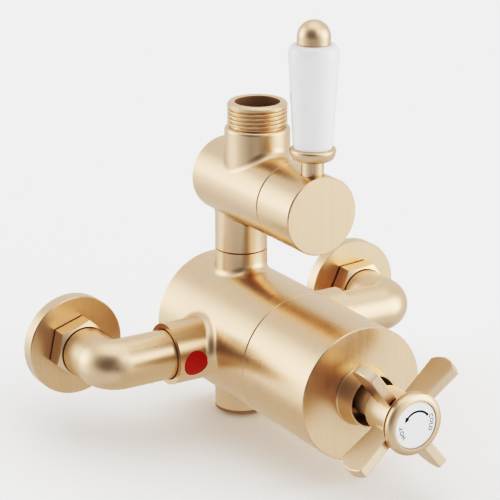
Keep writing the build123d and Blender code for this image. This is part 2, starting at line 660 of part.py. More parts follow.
# Cross-head: hub, shank and flared paddles, cast as one
with BuildPart() as knob_crosshead:
    turned(
        MIX_AXIS,
        [
            (SHANK_START, 0),
            (SHANK_START, SHANK_RADIUS - EDGE),
            (SHANK_START + EDGE, SHANK_RADIUS),
            (HUB_REAR, SHANK_RADIUS),
            (HUB_REAR, HUB_RADIUS - EDGE),
            (HUB_REAR + EDGE, HUB_RADIUS),
            (HUB_FRONT, HUB_RADIUS),
            (HUB_FRONT, 0),
        ],
    )
    for arm in range(ARM_COUNT):
        turn = radians(ARM_TURN + arm * 360 / ARM_COUNT)
        flat = Plane(origin=MIX_AXIS.origin, x_dir=(0, -1, 0), z_dir=(-sin(turn), 0, cos(turn)))
        root = HUB_RADIUS - ARM_ROOT
        with BuildSketch(flat):
            with BuildLine():
                rear_tip = (ARM_TIP_REAR, ARM_CORNER_REAR)
                front_tip = (ARM_TIP_FRONT, ARM_CORNER_FRONT)
                Polyline(front_tip, (ARM_ROOT_FRONT, root), (ARM_ROOT_REAR, root), rear_tip)
                ThreePointArc(rear_tip, ((ARM_TIP_REAR + ARM_TIP_FRONT) / 2, ARM_REACH), front_tip)
            make_face()
        extrude(amount=ARM_THICK / 2, both=True)
    outer_edges = knob_crosshead.edges().filter_by(
        lambda edge: (edge.center() - axis_point(edge.center())).length > HUB_RADIUS + 2 * ARM_EDGE
    )
    fillet(outer_edges, ARM_EDGE)
    barrel(MIX_AXIS, HUB_FRONT, INDEX_SEAT, BEZEL_NECK - FIT)
    barrel(MIX_AXIS, WEB_FRONT, INDEX_SEAT, HUB_RECESS, mode=Mode.SUBTRACT)
    barrel(MIX_AXIS, SPINDLE_END, WEB_FRONT, SCREW_RADIUS + FIT, mode=Mode.SUBTRACT)
    barrel(MIX_AXIS, SHANK_START, SPINDLE_END, SPINDLE_RADIUS + FIT, mode=Mode.SUBTRACT)
save(knob_crosshead, "knob_crosshead")

# Stepped bezel screwed on the hub's neck, with the recess of the index disc
with BuildPart() as knob_bezel:
    with BuildSketch(MIX_AXIS):
        with BuildLine():
            ring_front = HUB_FRONT + BEZEL_RING
            belly_start = (ring_front + BEZEL_GROOVE, BEZEL_RADIUS - EDGE)
            shoulder = (BEZEL_BELLY + BEZEL_SHOULDER, BEZEL_RADIUS - EDGE)
            lip = (BEZEL_FRONT, INDEX_RADIUS + 2 * EDGE)
            Polyline(
                lip,
                (BEZEL_FRONT, INDEX_RADIUS + FIT),
                (INDEX_SEAT, INDEX_RADIUS + FIT),
                (INDEX_SEAT, BEZEL_NECK),
                (HUB_FRONT, BEZEL_NECK),
                (HUB_FRONT, BEZEL_RING_RADIUS - EDGE / 2),
                (HUB_FRONT + EDGE / 2, BEZEL_RING_RADIUS),
                (ring_front - EDGE / 4, BEZEL_RING_RADIUS),
                (ring_front, BEZEL_RING_RADIUS - EDGE / 4),
                (ring_front, BEZEL_GROOVE_RADIUS),
                (ring_front + BEZEL_GROOVE, BEZEL_GROOVE_RADIUS),
                belly_start,
            )
            ThreePointArc(belly_start, (BEZEL_BELLY, BEZEL_RADIUS), shoulder)
            lip_middle = ((shoulder[0] + BEZEL_FRONT) / 2, (shoulder[1] + lip[1]) / 2 + EDGE)
            ThreePointArc(shoulder, lip_middle, lip)
        make_face()
    revolve(axis=axis_of(MIX_AXIS))
save(knob_bezel, "knob_bezel")

# Glazed index disc
with BuildPart() as knob_index:
    barrel(MIX_AXIS, INDEX_SEAT, INDEX_SEAT + INDEX_THICK, INDEX_RADIUS)
    fillet(knob_index.faces().sort_by(Axis.Y)[0].edges(), EDGE / 2)
save(knob_index, "knob_index")

# Screw that holds the knob on the spindle
with BuildPart() as knob_screw:
    barrel(MIX_AXIS, WEB_FRONT, WEB_FRONT + SCREW_HEAD_LENGTH, SCREW_HEAD)
    barrel(MIX_AXIS, SPINDLE_END - SCREW_REACH + SCREW_RADIUS, WEB_FRONT, SCREW_RADIUS)
    socket = WEB_FRONT + SCREW_HEAD_LENGTH
    hexagon(MIX_AXIS, socket - SCREW_SOCKET_DEPTH, socket, SCREW_SOCKET, mode=Mode.SUBTRACT)
save(knob_screw, "knob_screw")

# Wall tails, roses, elbows, strainers and check valves, the same on both sides
for side, name in ((-1, "hot"), (1, "cold")):
    wall_line = body_line(x=side * INLET_X)
    line = inlet_line(side)
    with BuildPart() as rose:
        turned(
            wall_line,
            [
                (0, ROSE_RADIUS - ROSE_WALL),
                (0, ROSE_RADIUS),
                (ROSE_DEPTH - EDGE, ROSE_RADIUS),
                (ROSE_DEPTH, ROSE_RADIUS - EDGE),
                (ROSE_DEPTH, THREAD_RADIUS + FIT),
                (ROSE_DEPTH - ROSE_WALL, THREAD_RADIUS + FIT),
                (ROSE_DEPTH - ROSE_WALL, ROSE_RADIUS - ROSE_WALL),
            ],
        )
    save(rose, name + "_rose")

    with BuildPart() as tail:
        hex_turn = HOT_HEX_TURN if name == "hot" else COLD_HEX_TURN
        hexagon(wall_line, ROSE_DEPTH + HEX_STAND, HEX_FRONT, HEX_ACROSS, HEX_FLAT_UP + hex_turn)
        chamfer(tail.faces().sort_by(Axis.Y)[-1].edges(), EDGE / 2)
        crown = TUBE_RADIUS + AIR
        turned(
            wall_line,
            [
                (0, 0),
                (0, HEX_ACROSS),
                (HEX_FRONT - HEX_SLOPE * (HEX_ACROSS - crown), HEX_ACROSS),
                (HEX_FRONT, crown),
                (HEX_FRONT, 0),
            ],
            mode=Mode.INTERSECT,
        )
        turned(
            wall_line,
            [
                (-THREAD_LENGTH, 0),
                (-THREAD_LENGTH, THREAD_RADIUS - 2 * EDGE),
                (-THREAD_LENGTH + 2 * EDGE, THREAD_RADIUS),
                (-THREAD_START, THREAD_RADIUS),
                (-THREAD_START, UNDERCUT_RADIUS),
                (ROSE_DEPTH, UNDERCUT_RADIUS),
                (ROSE_DEPTH, HEX_NECK),
                (ROSE_DEPTH + HEX_STAND, HEX_NECK),
                (ROSE_DEPTH + HEX_STAND, 0),
            ],
        )
        barrel(wall_line, -THREAD_LENGTH, HEX_FRONT, TAIL_BORE, mode=Mode.SUBTRACT)
        mouth = HEX_FRONT - TAIL_MOUTH
        barrel(wall_line, mouth, HEX_FRONT, TUBE_RADIUS + AIR, mode=Mode.SUBTRACT)
        seat_radius = TAIL_SPIGOT_RADIUS + FIT
        barrel(wall_line, mouth - TAIL_SPIGOT_LENGTH, mouth, seat_radius, mode=Mode.SUBTRACT)
    save(tail, name + "_tail")

    with BuildPart() as elbow:
        bend_x = INLET_X - ELBOW_BEND
        bend_out = INLET_OUT - ELBOW_BEND
        corner_place = Plane((side * bend_x, -INLET_OUT, 0), x_dir=(0, 1, 0), z_dir=(side, 0, 0))
        bend_pin = Axis((side * bend_x, -bend_out, 0), (0, 0, side))
        for radius, mode in ((TUBE_RADIUS, Mode.ADD), (TAIL_BORE, Mode.SUBTRACT)):
            with BuildSketch(corner_place) as corner:
                Circle(radius)
                with Locations((ELBOW_BEND + radius, 0)):
                    Rectangle(2 * radius, 2 * radius, mode=Mode.SUBTRACT)
            revolve(corner.sketch, axis=bend_pin, revolution_arc=90, mode=mode)
            barrel(wall_line, mouth, bend_out, radius, mode=mode)
            barrel(line, INLET_BOSS_END - SOCKET_MOUTH, bend_x, radius, mode=mode)
        barrel(wall_line, mouth - TAIL_SPIGOT_LENGTH, mouth, TAIL_SPIGOT_RADIUS)
        barrel(line, SOCKET_FLOOR, INLET_BOSS_END - SOCKET_MOUTH, SPIGOT_RADIUS)
        tail_seal_place = mouth - TAIL_SPIGOT_LENGTH / 2
        groove(wall_line, tail_seal_place, SEAL_GROOVE, TAIL_SEAL_FLOOR, TAIL_SPIGOT_RADIUS + PAST)
        groove(line, ELBOW_SEAL_PLACE, SEAL_GROOVE, ELBOW_SEAL_FLOOR, SPIGOT_RADIUS + PAST)
        barrel(wall_line, mouth - TAIL_SPIGOT_LENGTH, mouth, TAIL_BORE, mode=Mode.SUBTRACT)
        barrel(line, SOCKET_FLOOR, INLET_BOSS_END, TAIL_BORE, mode=Mode.SUBTRACT)
        basket_end = SOCKET_FLOOR + STRAINER_LENGTH + AIR
        barrel(line, SOCKET_FLOOR, basket_end, TUBE_BORE, mode=Mode.SUBTRACT)
    save(elbow, name + "_elbow")

    with BuildPart() as strainer:
        tube(line, CHECK_END, SOCKET_FLOOR, CHECK_RADIUS, STRAINER_RADIUS - STRAINER_WALL)
        barrel(line, SOCKET_FLOOR, SOCKET_FLOOR + STRAINER_LENGTH, STRAINER_RADIUS)
        inside = SOCKET_FLOOR + STRAINER_LENGTH - STRAINER_WALL
        barrel(line, SOCKET_FLOOR, inside, STRAINER_RADIUS - STRAINER_WALL, mode=Mode.SUBTRACT)
        for slot in range(STRAINER_SLOTS // 2):
            turn = slot * 360 / STRAINER_SLOTS
            with BuildSketch(across(line, SOCKET_FLOOR + STRAINER_WALL, turn)):
                Rectangle(3 * STRAINER_RADIUS, STRAINER_SLOT)
            extrude(amount=STRAINER_LENGTH - 3 * STRAINER_WALL, mode=Mode.SUBTRACT)
    save(strainer, name + "_strainer")

    with BuildPart() as check_body:
        barrel(line, CHECK_START, CHECK_END, CHECK_RADIUS)
        seat_back = CHECK_END - CHECK_WALL
        barrel(line, CHECK_START + CHECK_WALL, seat_back, CHECK_CHAMBER, mode=Mode.SUBTRACT)
        barrel(line, CHECK_START, CHECK_START + CHECK_WALL, CHECK_OUTLET, mode=Mode.SUBTRACT)
        barrel(line, seat_back, CHECK_END, CHECK_SEAT, mode=Mode.SUBTRACT)
        bar(line, seat_back, CHECK_END, 2 * CHECK_SEAT + CHECK_SPOKE, CHECK_SPOKE)
        barrel(line, seat_back, CHECK_END, CHECK_GUIDE)
        barrel(line, seat_back, CHECK_END, POPPET_STEM + RUN, mode=Mode.SUBTRACT)
    save(check_body, name + "_check_body")

    with BuildPart() as check_poppet:
        disc_end = seat_back - FIT
        barrel(line, disc_end - POPPET_THICK, disc_end, POPPET_RADIUS)
        barrel(line, disc_end, disc_end + POPPET_STEM_LENGTH, POPPET_STEM)
    save(check_poppet, name + "_check_poppet")

    with BuildPart() as check_spring:
        spring_start = CHECK_START + CHECK_WALL
        length = disc_end - POPPET_THICK - spring_start
        coil(line, spring_start, length, CHECK_SPRING_RADIUS, CHECK_SPRING_WIRE, CHECK_SPRING_TURNS)
    save(check_spring, name + "_check_spring")

# Rubber rings of the tails and of the elbows' body ends
with BuildPart() as tail_seals:
    for side in (-1, 1):
        place = HEX_FRONT - TAIL_MOUTH - TAIL_SPIGOT_LENGTH / 2
        o_ring(body_line(x=side * INLET_X), place, TAIL_SEAL_FLOOR, TAIL_SPIGOT_RADIUS + FIT, SEAL_WIRE)
save(tail_seals, "tail_seals")

with BuildPart() as elbow_seals:
    for side in (-1, 1):
        o_ring(inlet_line(side), ELBOW_SEAL_PLACE, ELBOW_SEAL_FLOOR, SPIGOT_RADIUS + FIT, SEAL_WIRE)
save(elbow_seals, "elbow_seals")

# Grub screws under the inlet bosses, which lock the elbows
with BuildPart() as inlet_grub_screws:
    for side in (-1, 1):
        grub_x = side * (INLET_BOSS_END - GRUB_FROM_END)
        grub = Plane(origin=(grub_x, -INLET_OUT, 0), x_dir=(0, 0, -1), z_dir=(0, 1, 0))
        grub_end = INLET_BOSS_RADIUS - GRUB_SUNK
        barrel(grub, SPIGOT_RADIUS + FIT, grub_end, GRUB_RADIUS)
        hexagon(grub, grub_end - GRUB_RADIUS / 2, grub_end, GRUB_RADIUS, mode=Mode.SUBTRACT)
save(inlet_grub_screws, "inlet_grub_screws")

# Blanking plug of the drain boss and its ring
with BuildPart() as bottom_plug:
    plug_top = DRAIN_FACE_Z + NIPPLE_REACH
    turned(
        RISER_AXIS,
        [
            (DRAIN_END_Z, 0),
            (DRAIN_END_Z, DRAIN_BOSS_RADIUS - 2 * EDGE),
            (DRAIN_END_Z + 2 * EDGE, DRAIN_BOSS_RADIUS),
            (DRAIN_FACE_Z, DRAIN_BOSS_RADIUS),
            (DRAIN_FACE_Z, NIPPLE_RADIUS),
            (plug_top, NIPPLE_RADIUS),
            (plug_top, 0),
        ],
    )
    key_top = DRAIN_END_Z + NIPPLE_REACH / 2
    hexagon(RISER_AXIS, DRAIN_END_Z, key_top, DRAIN_KEY_ACROSS, mode=Mode.SUBTRACT)
    groove(RISER_AXIS, PLUG_SEAL_PLACE, SEAL_GROOVE, NIPPLE_SEAL_FLOOR, NIPPLE_RADIUS + PAST)
save(bottom_plug, "bottom_plug")

with BuildPart() as bottom_plug_seal:
    o_ring(RISER_AXIS, PLUG_SEAL_PLACE, NIPPLE_SEAL_FLOOR, NIPPLE_RADIUS + FIT, SEAL_WIRE)
save(bottom_plug_seal, "bottom_plug_seal")

# Nipple that joins the flow valve to the mixing body, with its two rings
nipple_seal_places = (RISER_SEAM_Z - NIPPLE_REACH / 2, RISER_SEAM_Z + NIPPLE_REACH / 2)
with BuildPart() as outlet_nipple:
    tube(RISER_AXIS, RISER_SEAM_Z - NIPPLE_REACH, RISER_SEAM_Z + NIPPLE_REACH, NIPPLE_RADIUS, NIPPLE_BORE)
    for place in nipple_seal_places:
        groove(RISER_AXIS, place, SEAL_GROOVE, NIPPLE_SEAL_FLOOR, NIPPLE_RADIUS + PAST)
save(outlet_nipple, "outlet_nipple")

with BuildPart() as nipple_seals:
    for place in nipple_seal_places:
        o_ring(RISER_AXIS, place, NIPPLE_SEAL_FLOOR, NIPPLE_RADIUS + FIT, SEAL_WIRE)
save(nipple_seals, "nipple_seals")

# Flow valve body: turned body with the neck below and the threaded outlet above
with BuildPart() as flow_body:
    turned(
        FLOW_AXIS,
        [
            (FLOW_BACK, 0),
            (FLOW_BACK, FLOW_RADIUS - 2 * EDGE),
            (FLOW_BACK + 2 * EDGE, FLOW_RADIUS),
            (FLOW_SEAM - EDGE / 2, FLOW_RADIUS),
            (FLOW_SEAM, FLOW_RADIUS - EDGE / 2),
            (FLOW_SEAM, 0),
        ],
    )
    barrel(RISER_AXIS, RISER_SEAM_Z, FLOW_AXIS_Z, RISER_BOSS_RADIUS)
    meeting = flow_body.edges(Select.LAST).filter_by(GeomType.CIRCLE, reverse=True)
    fillet(meeting.filter_by(GeomType.LINE, reverse=True), NECK_FILLET)
    barrel(OUTLET_AXIS, FLOW_AXIS_Z, OUTLET_SHOULDER_Z, OUTLET_NECK_RADIUS)
    meeting = flow_body.edges(Select.LAST).filter_by(GeomType.CIRCLE, reverse=True)
    fillet(meeting.filter_by(GeomType.LINE, reverse=True), OUTLET_FILLET)
    fillet(flow_body.faces().sort_by(Axis.Z)[-1].edges(), SHOULDER_ROUND)
    barrel(OUTLET_AXIS, OUTLET_SHOULDER_Z - EDGE, OUTLET_END_Z, OUTLET_THREAD_RADIUS)
    chamfer(flow_body.faces().sort_by(Axis.Z)[-1].edges(), 2 * EDGE)
    barrel(FLOW_AXIS, FLOW_SEAT - FLOW_CHAMBER_LENGTH, FLOW_SEAT, FLOW_CHAMBER_RADIUS, mode=Mode.SUBTRACT)
    barrel(FLOW_AXIS, FLOW_SEAT, FLOW_SHOULDER, FLOW_CARTRIDGE_RADIUS, mode=Mode.SUBTRACT)
    barrel(FLOW_AXIS, FLOW_SHOULDER, FLOW_SEAM, FLOW_NUT_RADIUS, mode=Mode.SUBTRACT)
    neck_floor = RISER_SEAM_Z + NIPPLE_REACH + FIT
    barrel(RISER_AXIS, RISER_SEAM_Z, neck_floor, NIPPLE_RADIUS + FIT, mode=Mode.SUBTRACT)
    barrel(RISER_AXIS, neck_floor, FLOW_AXIS_Z, NIPPLE_BORE, mode=Mode.SUBTRACT)
    barrel(OUTLET_AXIS, OUTLET_FLOOR_Z, OUTLET_END_Z, OUTLET_BORE, mode=Mode.SUBTRACT)
    barrel(upright_line(FLOW_PORT_OUT), FLOW_AXIS_Z, OUTLET_FLOOR_Z, FLOW_PORT_RADIUS, mode=Mode.SUBTRACT)
save(flow_body, "flow_body")

# Ceramic disc cartridge of the flow valve
disc_front = FLOW_SEAT + DISC_THICK
with BuildPart() as flow_fixed_disc:
    barrel(FLOW_AXIS, FLOW_SEAT, disc_front, DISC_RADIUS)
    opening = Plane(origin=(0, 0, FLOW_AXIS_Z + DISC_RADIUS / 2), x_dir=(0, -1, 0), z_dir=(-1, 0, 0))
    barrel(opening, FLOW_SEAT, disc_front, DISC_SLOT - EDGE, mode=Mode.SUBTRACT)
save(flow_fixed_disc, "flow_fixed_disc")

turning_disc_front = disc_front + FIT + DISC_THICK
with BuildPart() as flow_moving_disc:
    barrel(FLOW_AXIS, disc_front + FIT, turning_disc_front, DISC_RADIUS - AIR)
    opening = Plane(origin=(DISC_RADIUS / 2, 0, FLOW_AXIS_Z), x_dir=(0, -1, 0), z_dir=(-1, 0, 0))
    barrel(opening, disc_front + FIT, turning_disc_front, DISC_SLOT - EDGE, mode=Mode.SUBTRACT)
    tongue = turning_disc_front - FORK_TONGUE
    bar(FLOW_AXIS, tongue, turning_disc_front, 3 * DISC_RADIUS, FORK_TONGUE * 2, mode=Mode.SUBTRACT)
save(flow_moving_disc, "flow_moving_disc")

# Spindle: its fork turns the moving disc
fork_front = turning_disc_front + FIT + FORK_THICK
shell_wall_back = FLOW_SHOULDER + FLOW_FLANGE - FLOW_FRONT_WALL
with BuildPart() as flow_spindle:
    bar(FLOW_AXIS, turning_disc_front + FIT, fork_front, FORK_LENGTH, FORK_WIDTH)
    tongue_back = turning_disc_front + FIT - FORK_TONGUE
    bar(FLOW_AXIS, tongue_back, fork_front, FORK_LENGTH, 2 * FORK_TONGUE - 2 * FIT)
    spindle_end = LEVER_OUT - STEM_THREAD_RADIUS + 2 * FORK_TONGUE
    barrel(FLOW_AXIS, fork_front, spindle_end, SPINDLE_RADIUS)
    barrel(FLOW_AXIS, shell_wall_back - RUN - FORK_THICK, shell_wall_back - RUN, FLOW_COLLAR_RADIUS)
save(flow_spindle, "flow_spindle")

with BuildPart() as flow_cartridge_shell:
    flange_front = FLOW_SHOULDER + FLOW_FLANGE
    barrel(FLOW_AXIS, FLOW_SEAT, FLOW_SHOULDER, FLOW_CARTRIDGE_RADIUS - FIT)
    barrel(FLOW_AXIS, FLOW_SHOULDER, flange_front, FLOW_NUT_RADIUS - FIT)
    barrel(FLOW_AXIS, FLOW_SEAT, shell_wall_back, FLOW_SHELL_BORE, mode=Mode.SUBTRACT)
    barrel(FLOW_AXIS, shell_wall_back, flange_front, SPINDLE_RADIUS + RUN, mode=Mode.SUBTRACT)
    start = FLOW_PORT_OUT - DISC_SLOT / 2
    end = FLOW_PORT_OUT + DISC_SLOT / 2
    bar(FLOW_AXIS, start, end, 3 * FLOW_CARTRIDGE_RADIUS, WINDOW_WIDTH, mode=Mode.SUBTRACT)
    bar(FLOW_AXIS, start, end, WINDOW_WIDTH, 3 * FLOW_CARTRIDGE_RADIUS, mode=Mode.SUBTRACT)
    flow_seal_place = FLOW_SHOULDER - 3 * FLOW_SEAL_WIRE
    seal_floor = FLOW_CARTRIDGE_RADIUS - 2 * FLOW_SEAL_WIRE - 2 * FIT
    groove(FLOW_AXIS, flow_seal_place, 2 * FLOW_SEAL_WIRE + EDGE, seal_floor, FLOW_CARTRIDGE_RADIUS + PAST)
save(flow_cartridge_shell, "flow_cartridge_shell")

with BuildPart() as flow_seal:
    o_ring(FLOW_AXIS, flow_seal_place, seal_floor, FLOW_CARTRIDGE_RADIUS, FLOW_SEAL_WIRE)
save(flow_seal, "flow_seal")

with BuildPart() as flow_nut:
    barrel(FLOW_AXIS, flange_front, FLOW_SEAM, FLOW_NUT_RADIUS - FIT)
    hexagon(FLOW_AXIS, FLOW_SEAM, FLOW_SEAM + FLOW_NUT_HEAD, FLOW_NUT_ACROSS)
    barrel(FLOW_AXIS, flange_front, FLOW_SEAM + FLOW_NUT_HEAD, SPINDLE_RADIUS + AIR, mode=Mode.SUBTRACT)
save(flow_nut, "flow_nut")

# Lever hub: the front drum, bored for the spindle, the stem and a grub screw
with BuildPart() as lever_hub:
    hub_back = FLOW_SEAM + AIR
    turned(
        FLOW_AXIS,
        [
            (hub_back, LEVER_RECESS_RADIUS),
            (hub_back, FLOW_RADIUS - EDGE / 2),
            (hub_back + EDGE / 2, FLOW_RADIUS),
            (FLOW_FRONT - EDGE, FLOW_RADIUS),
            (FLOW_FRONT, FLOW_RADIUS - EDGE),
            (FLOW_FRONT, 0),
            (hub_back + LEVER_RECESS, 0),
            (hub_back + LEVER_RECESS, LEVER_RECESS_RADIUS),
        ],
    )
    barrel(FLOW_AXIS, hub_back, spindle_end + AIR, SPINDLE_RADIUS + FIT, mode=Mode.SUBTRACT)
    hub_top = FLOW_AXIS_Z + FLOW_RADIUS
    barrel(LEVER_AXIS, STEM_SEAT_Z, hub_top, STEM_RADIUS + 2 * FIT, mode=Mode.SUBTRACT)
    thread_floor = STEM_SEAT_Z - STEM_THREAD - FIT
    barrel(LEVER_AXIS, thread_floor, STEM_SEAT_Z, STEM_THREAD_RADIUS + FIT, mode=Mode.SUBTRACT)
    grub_top = FLOW_AXIS_Z - SPINDLE_RADIUS
    grub_line = upright_line(LEVER_GRUB_OUT)
    barrel(grub_line, FLOW_AXIS_Z - FLOW_RADIUS, grub_top, GRUB_RADIUS + FIT, mode=Mode.SUBTRACT)
save(lever_hub, "lever_hub")

with BuildPart() as lever_grub_screw:
    grub_top = FLOW_AXIS_Z - SPINDLE_RADIUS - FIT
    barrel(grub_line, grub_top - LEVER_GRUB_LENGTH, grub_top, GRUB_RADIUS)
    key_end = grub_top - LEVER_GRUB_LENGTH
    hexagon(grub_line, key_end, key_end + GRUB_RADIUS, GRUB_RADIUS, mode=Mode.SUBTRACT)
save(lever_grub_screw, "lever_grub_screw")

# Lever stem: threaded foot, round stem and the cup that the grip stands in
with BuildPart() as lever_stem:
    with BuildSketch(LEVER_AXIS):
        with BuildLine():
            grip_taper = (GRIP_BELLY_RADIUS - GRIP_FOOT_RADIUS) / (GRIP_BELLY_Z - CUP_FLOOR_Z)
            cup_inside = GRIP_FOOT_RADIUS + grip_taper * (CUP_RIM_Z - CUP_FLOOR_Z) + 2 * FIT
            foot = (CUP_BOTTOM_Z, STEM_RADIUS + 2 * EDGE)
            rim = (CUP_RIM_Z, cup_inside)
            Polyline(
                rim,
                (CUP_FLOOR_Z, cup_inside),
                (CUP_FLOOR_Z, 0),
                (STEM_SEAT_Z - STEM_THREAD, 0),
                (STEM_SEAT_Z - STEM_THREAD, STEM_THREAD_RADIUS),
                (STEM_SEAT_Z, STEM_THREAD_RADIUS),
                (STEM_SEAT_Z, STEM_RADIUS),
                (CUP_BOTTOM_Z - EDGE, STEM_RADIUS),
                foot,
            )
            Spline(foot, (CUP_BELLY_Z, CUP_BELLY_RADIUS), rim, tangents=[(0, 1), (0, -1)])
        make_face()
    revolve(axis=axis_of(LEVER_AXIS))
    barrel(LEVER_AXIS, CUP_FLOOR_Z - ROD_IN_STEM, CUP_FLOOR_Z, ROD_RADIUS + FIT, mode=Mode.SUBTRACT)
save(lever_stem, "lever_stem")

# Glazed grip: a slow taper, a round shoulder and a flat top
with BuildPart() as lever_grip:
    with BuildSketch(LEVER_AXIS):
        with BuildLine():
            foot = (CUP_FLOOR_Z, GRIP_FOOT_RADIUS)
            belly = (GRIP_BELLY_Z, GRIP_BELLY_RADIUS)
            top = (GRIP_TOP_Z, GRIP_TOP_RADIUS)
            Polyline(top, (GRIP_TOP_Z, GRIP_BORE), (CUP_FLOOR_Z, GRIP_BORE), foot)
            Line(foot, belly)
            Spline(belly, top, tangents=[(1, (belly[1] - foot[1]) / (belly[0] - foot[0])), (0, -1)])
        make_face()
    revolve(axis=axis_of(LEVER_AXIS))
save(lever_grip, "lever_grip")

# Domed cap on the grip
with BuildPart() as lever_finial:
    dome_z = FINIAL_TOP_Z - FINIAL_RADIUS
    with BuildSketch(LEVER_AXIS):
        with BuildLine():
            Polyline(
                (FINIAL_TOP_Z, 0),
                (GRIP_TOP_Z, 0),
                (GRIP_TOP_Z, FINIAL_RADIUS - EDGE / 2),
                (GRIP_TOP_Z + EDGE / 2, FINIAL_RADIUS),
                (dome_z, FINIAL_RADIUS),
            )
            diagonal = FINIAL_RADIUS * sqrt(0.5)
            ThreePointArc((dome_z, FINIAL_RADIUS), (dome_z + diagonal, diagonal), (FINIAL_TOP_Z, 0))
        make_face()
    revolve(axis=axis_of(LEVER_AXIS))
    barrel(LEVER_AXIS, GRIP_TOP_Z, GRIP_TOP_Z + ROD_IN_FINIAL, ROD_RADIUS + FIT, mode=Mode.SUBTRACT)
save(lever_finial, "lever_finial")

# Rod that ties stem, grip and finial together
with BuildPart() as lever_tie_rod:
    barrel(LEVER_AXIS, CUP_FLOOR_Z - ROD_IN_STEM + FIT, GRIP_TOP_Z + ROD_IN_FINIAL - FIT, ROD_RADIUS)
save(lever_tie_rod, "lever_tie_rod")
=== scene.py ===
import json
from math import cos, pi, radians, sin

import bmesh
import bpy
import numpy as np
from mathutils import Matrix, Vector


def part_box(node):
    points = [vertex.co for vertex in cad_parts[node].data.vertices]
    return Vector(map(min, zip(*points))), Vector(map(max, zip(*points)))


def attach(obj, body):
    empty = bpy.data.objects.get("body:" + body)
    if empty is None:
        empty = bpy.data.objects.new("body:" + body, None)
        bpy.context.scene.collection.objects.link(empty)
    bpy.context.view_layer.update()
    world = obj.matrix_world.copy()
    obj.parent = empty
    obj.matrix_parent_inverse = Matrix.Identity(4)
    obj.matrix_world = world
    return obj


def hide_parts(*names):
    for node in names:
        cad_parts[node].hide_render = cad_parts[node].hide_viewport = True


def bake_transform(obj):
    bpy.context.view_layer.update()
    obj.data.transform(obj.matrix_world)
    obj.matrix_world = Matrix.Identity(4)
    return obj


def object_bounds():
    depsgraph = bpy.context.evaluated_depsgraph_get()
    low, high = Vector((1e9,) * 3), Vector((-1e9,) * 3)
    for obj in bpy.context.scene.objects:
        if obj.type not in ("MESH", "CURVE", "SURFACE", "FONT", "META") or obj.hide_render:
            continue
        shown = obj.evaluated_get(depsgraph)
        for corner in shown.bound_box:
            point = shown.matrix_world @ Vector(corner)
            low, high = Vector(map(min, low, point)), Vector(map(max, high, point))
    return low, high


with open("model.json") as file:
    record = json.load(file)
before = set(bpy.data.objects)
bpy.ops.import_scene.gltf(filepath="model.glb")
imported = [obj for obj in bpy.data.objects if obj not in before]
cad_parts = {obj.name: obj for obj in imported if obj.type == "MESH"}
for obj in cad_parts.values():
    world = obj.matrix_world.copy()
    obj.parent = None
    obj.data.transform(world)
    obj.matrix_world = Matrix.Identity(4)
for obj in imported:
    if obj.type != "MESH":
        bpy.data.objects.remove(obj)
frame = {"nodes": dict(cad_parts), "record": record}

CAD_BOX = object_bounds()

bl_info = {
    "name": "Mixing valve dressing",
    "version": (1, 0, 0),
    "blender": (4, 5, 0),
    "location": "View3D > Sidebar > Valve",
    "description": "Dresses a brushed brass mixing valve: finishes, threads, index print and studio",
    "category": "Object",
}

MM = 0.001
MOUNTS = {mount["name"]: mount for mount in frame["record"]["mounts"]}
NODES = frame["nodes"]
SLOT_OF = {part["node"]: part["material_slot"] for part in frame["record"]["subparts"]}

# Places and sizes that the frame's boxes and mounts don't give, in millimetres
OUTLET_SHOULDER = 99.0
OUTLET_FOOT = 98.4
OUTLET_BORE = 9.9
TAIL_BORE = 6.5
TAIL_FOOT = 0.0
TAIL_THREAD_START = 1.0
TAIL_UNDERCUT = 9.95
THREAD_CORE = 0.3  # from the thread's root to the solid under it
NECK_ROOM = 1.0  # how far from a neck's end its rim and its mount may lie
RISER_Y = -25.5
RISER_SEAM = 39.2
RISER_RADIUS = 11.8
SEAM_EDGE = 0.25  # half the width of the V round the riser
SEAM_DEPTH = 0.55
CLOSE = 0.01  # two places this close are one
SLACK = 0.05  # room left when a row of points is picked out

# Shape of a thread's ridge, as shares of half a pitch
ROOT_FLAT = 0.06
FLANK = 0.60

# Angles past which an edge stays sharp, in degrees
SHARP = 35.0
COPY_SHARP = 28.0

# Brushing lines: how fine the noise is in X, Y and Z, round the sides and over the front faces
SIDE_LINES = (60.0, 1100.0, 60.0)
FACE_LINES = (900.0, 60.0, 12.0)
TURNED_SIDE_LINES = (60.0, 2600.0, 60.0)
TURNED_FACE_LINES = (700.0, 60.0, 700.0)
LINE_TINTS = (0.98, 1.02)  # shares of the colour between which the lines tint it
LINE_SPREAD = 0.025  # how far the lines change the roughness either way
CLOUD_SPREAD = 0.015  # how far the clouds change it
CLOUD_SCALE = 45.0

# Hollows with painted shade: a darker, duller colour that stands in for the shade in them, and the values of
# the mask that finds them
HOLLOWS = {
    "cup of the knob collar": ((0.66, 0.50, 0.33), {
        "Centre": (0.0, 0.0, 0.9 * MM), "Across": (1.0, 0.0, 1.0), "Radius": 11.0 * MM,
        "Along": (0.0, -1.0, 0.0), "Middle": 129.2 * MM, "Half length": 10.0 * MM}),
    "bore of the outlet": ((0.56, 0.42, 0.28), {
        "Centre": (0.0, -39.2 * MM, 0.0), "Across": (1.0, 1.0, 0.0), "Radius": 9.95 * MM,
        "Along": (0.0, 0.0, 1.0), "Middle": 95.0 * MM, "Half length": 20.0 * MM}),
}
# Metallic and roughness of the painted shade in the hollows
HOLLOW_SHADE_METALLIC = 0.10
HOLLOW_SHADE_ROUGHNESS = 0.55

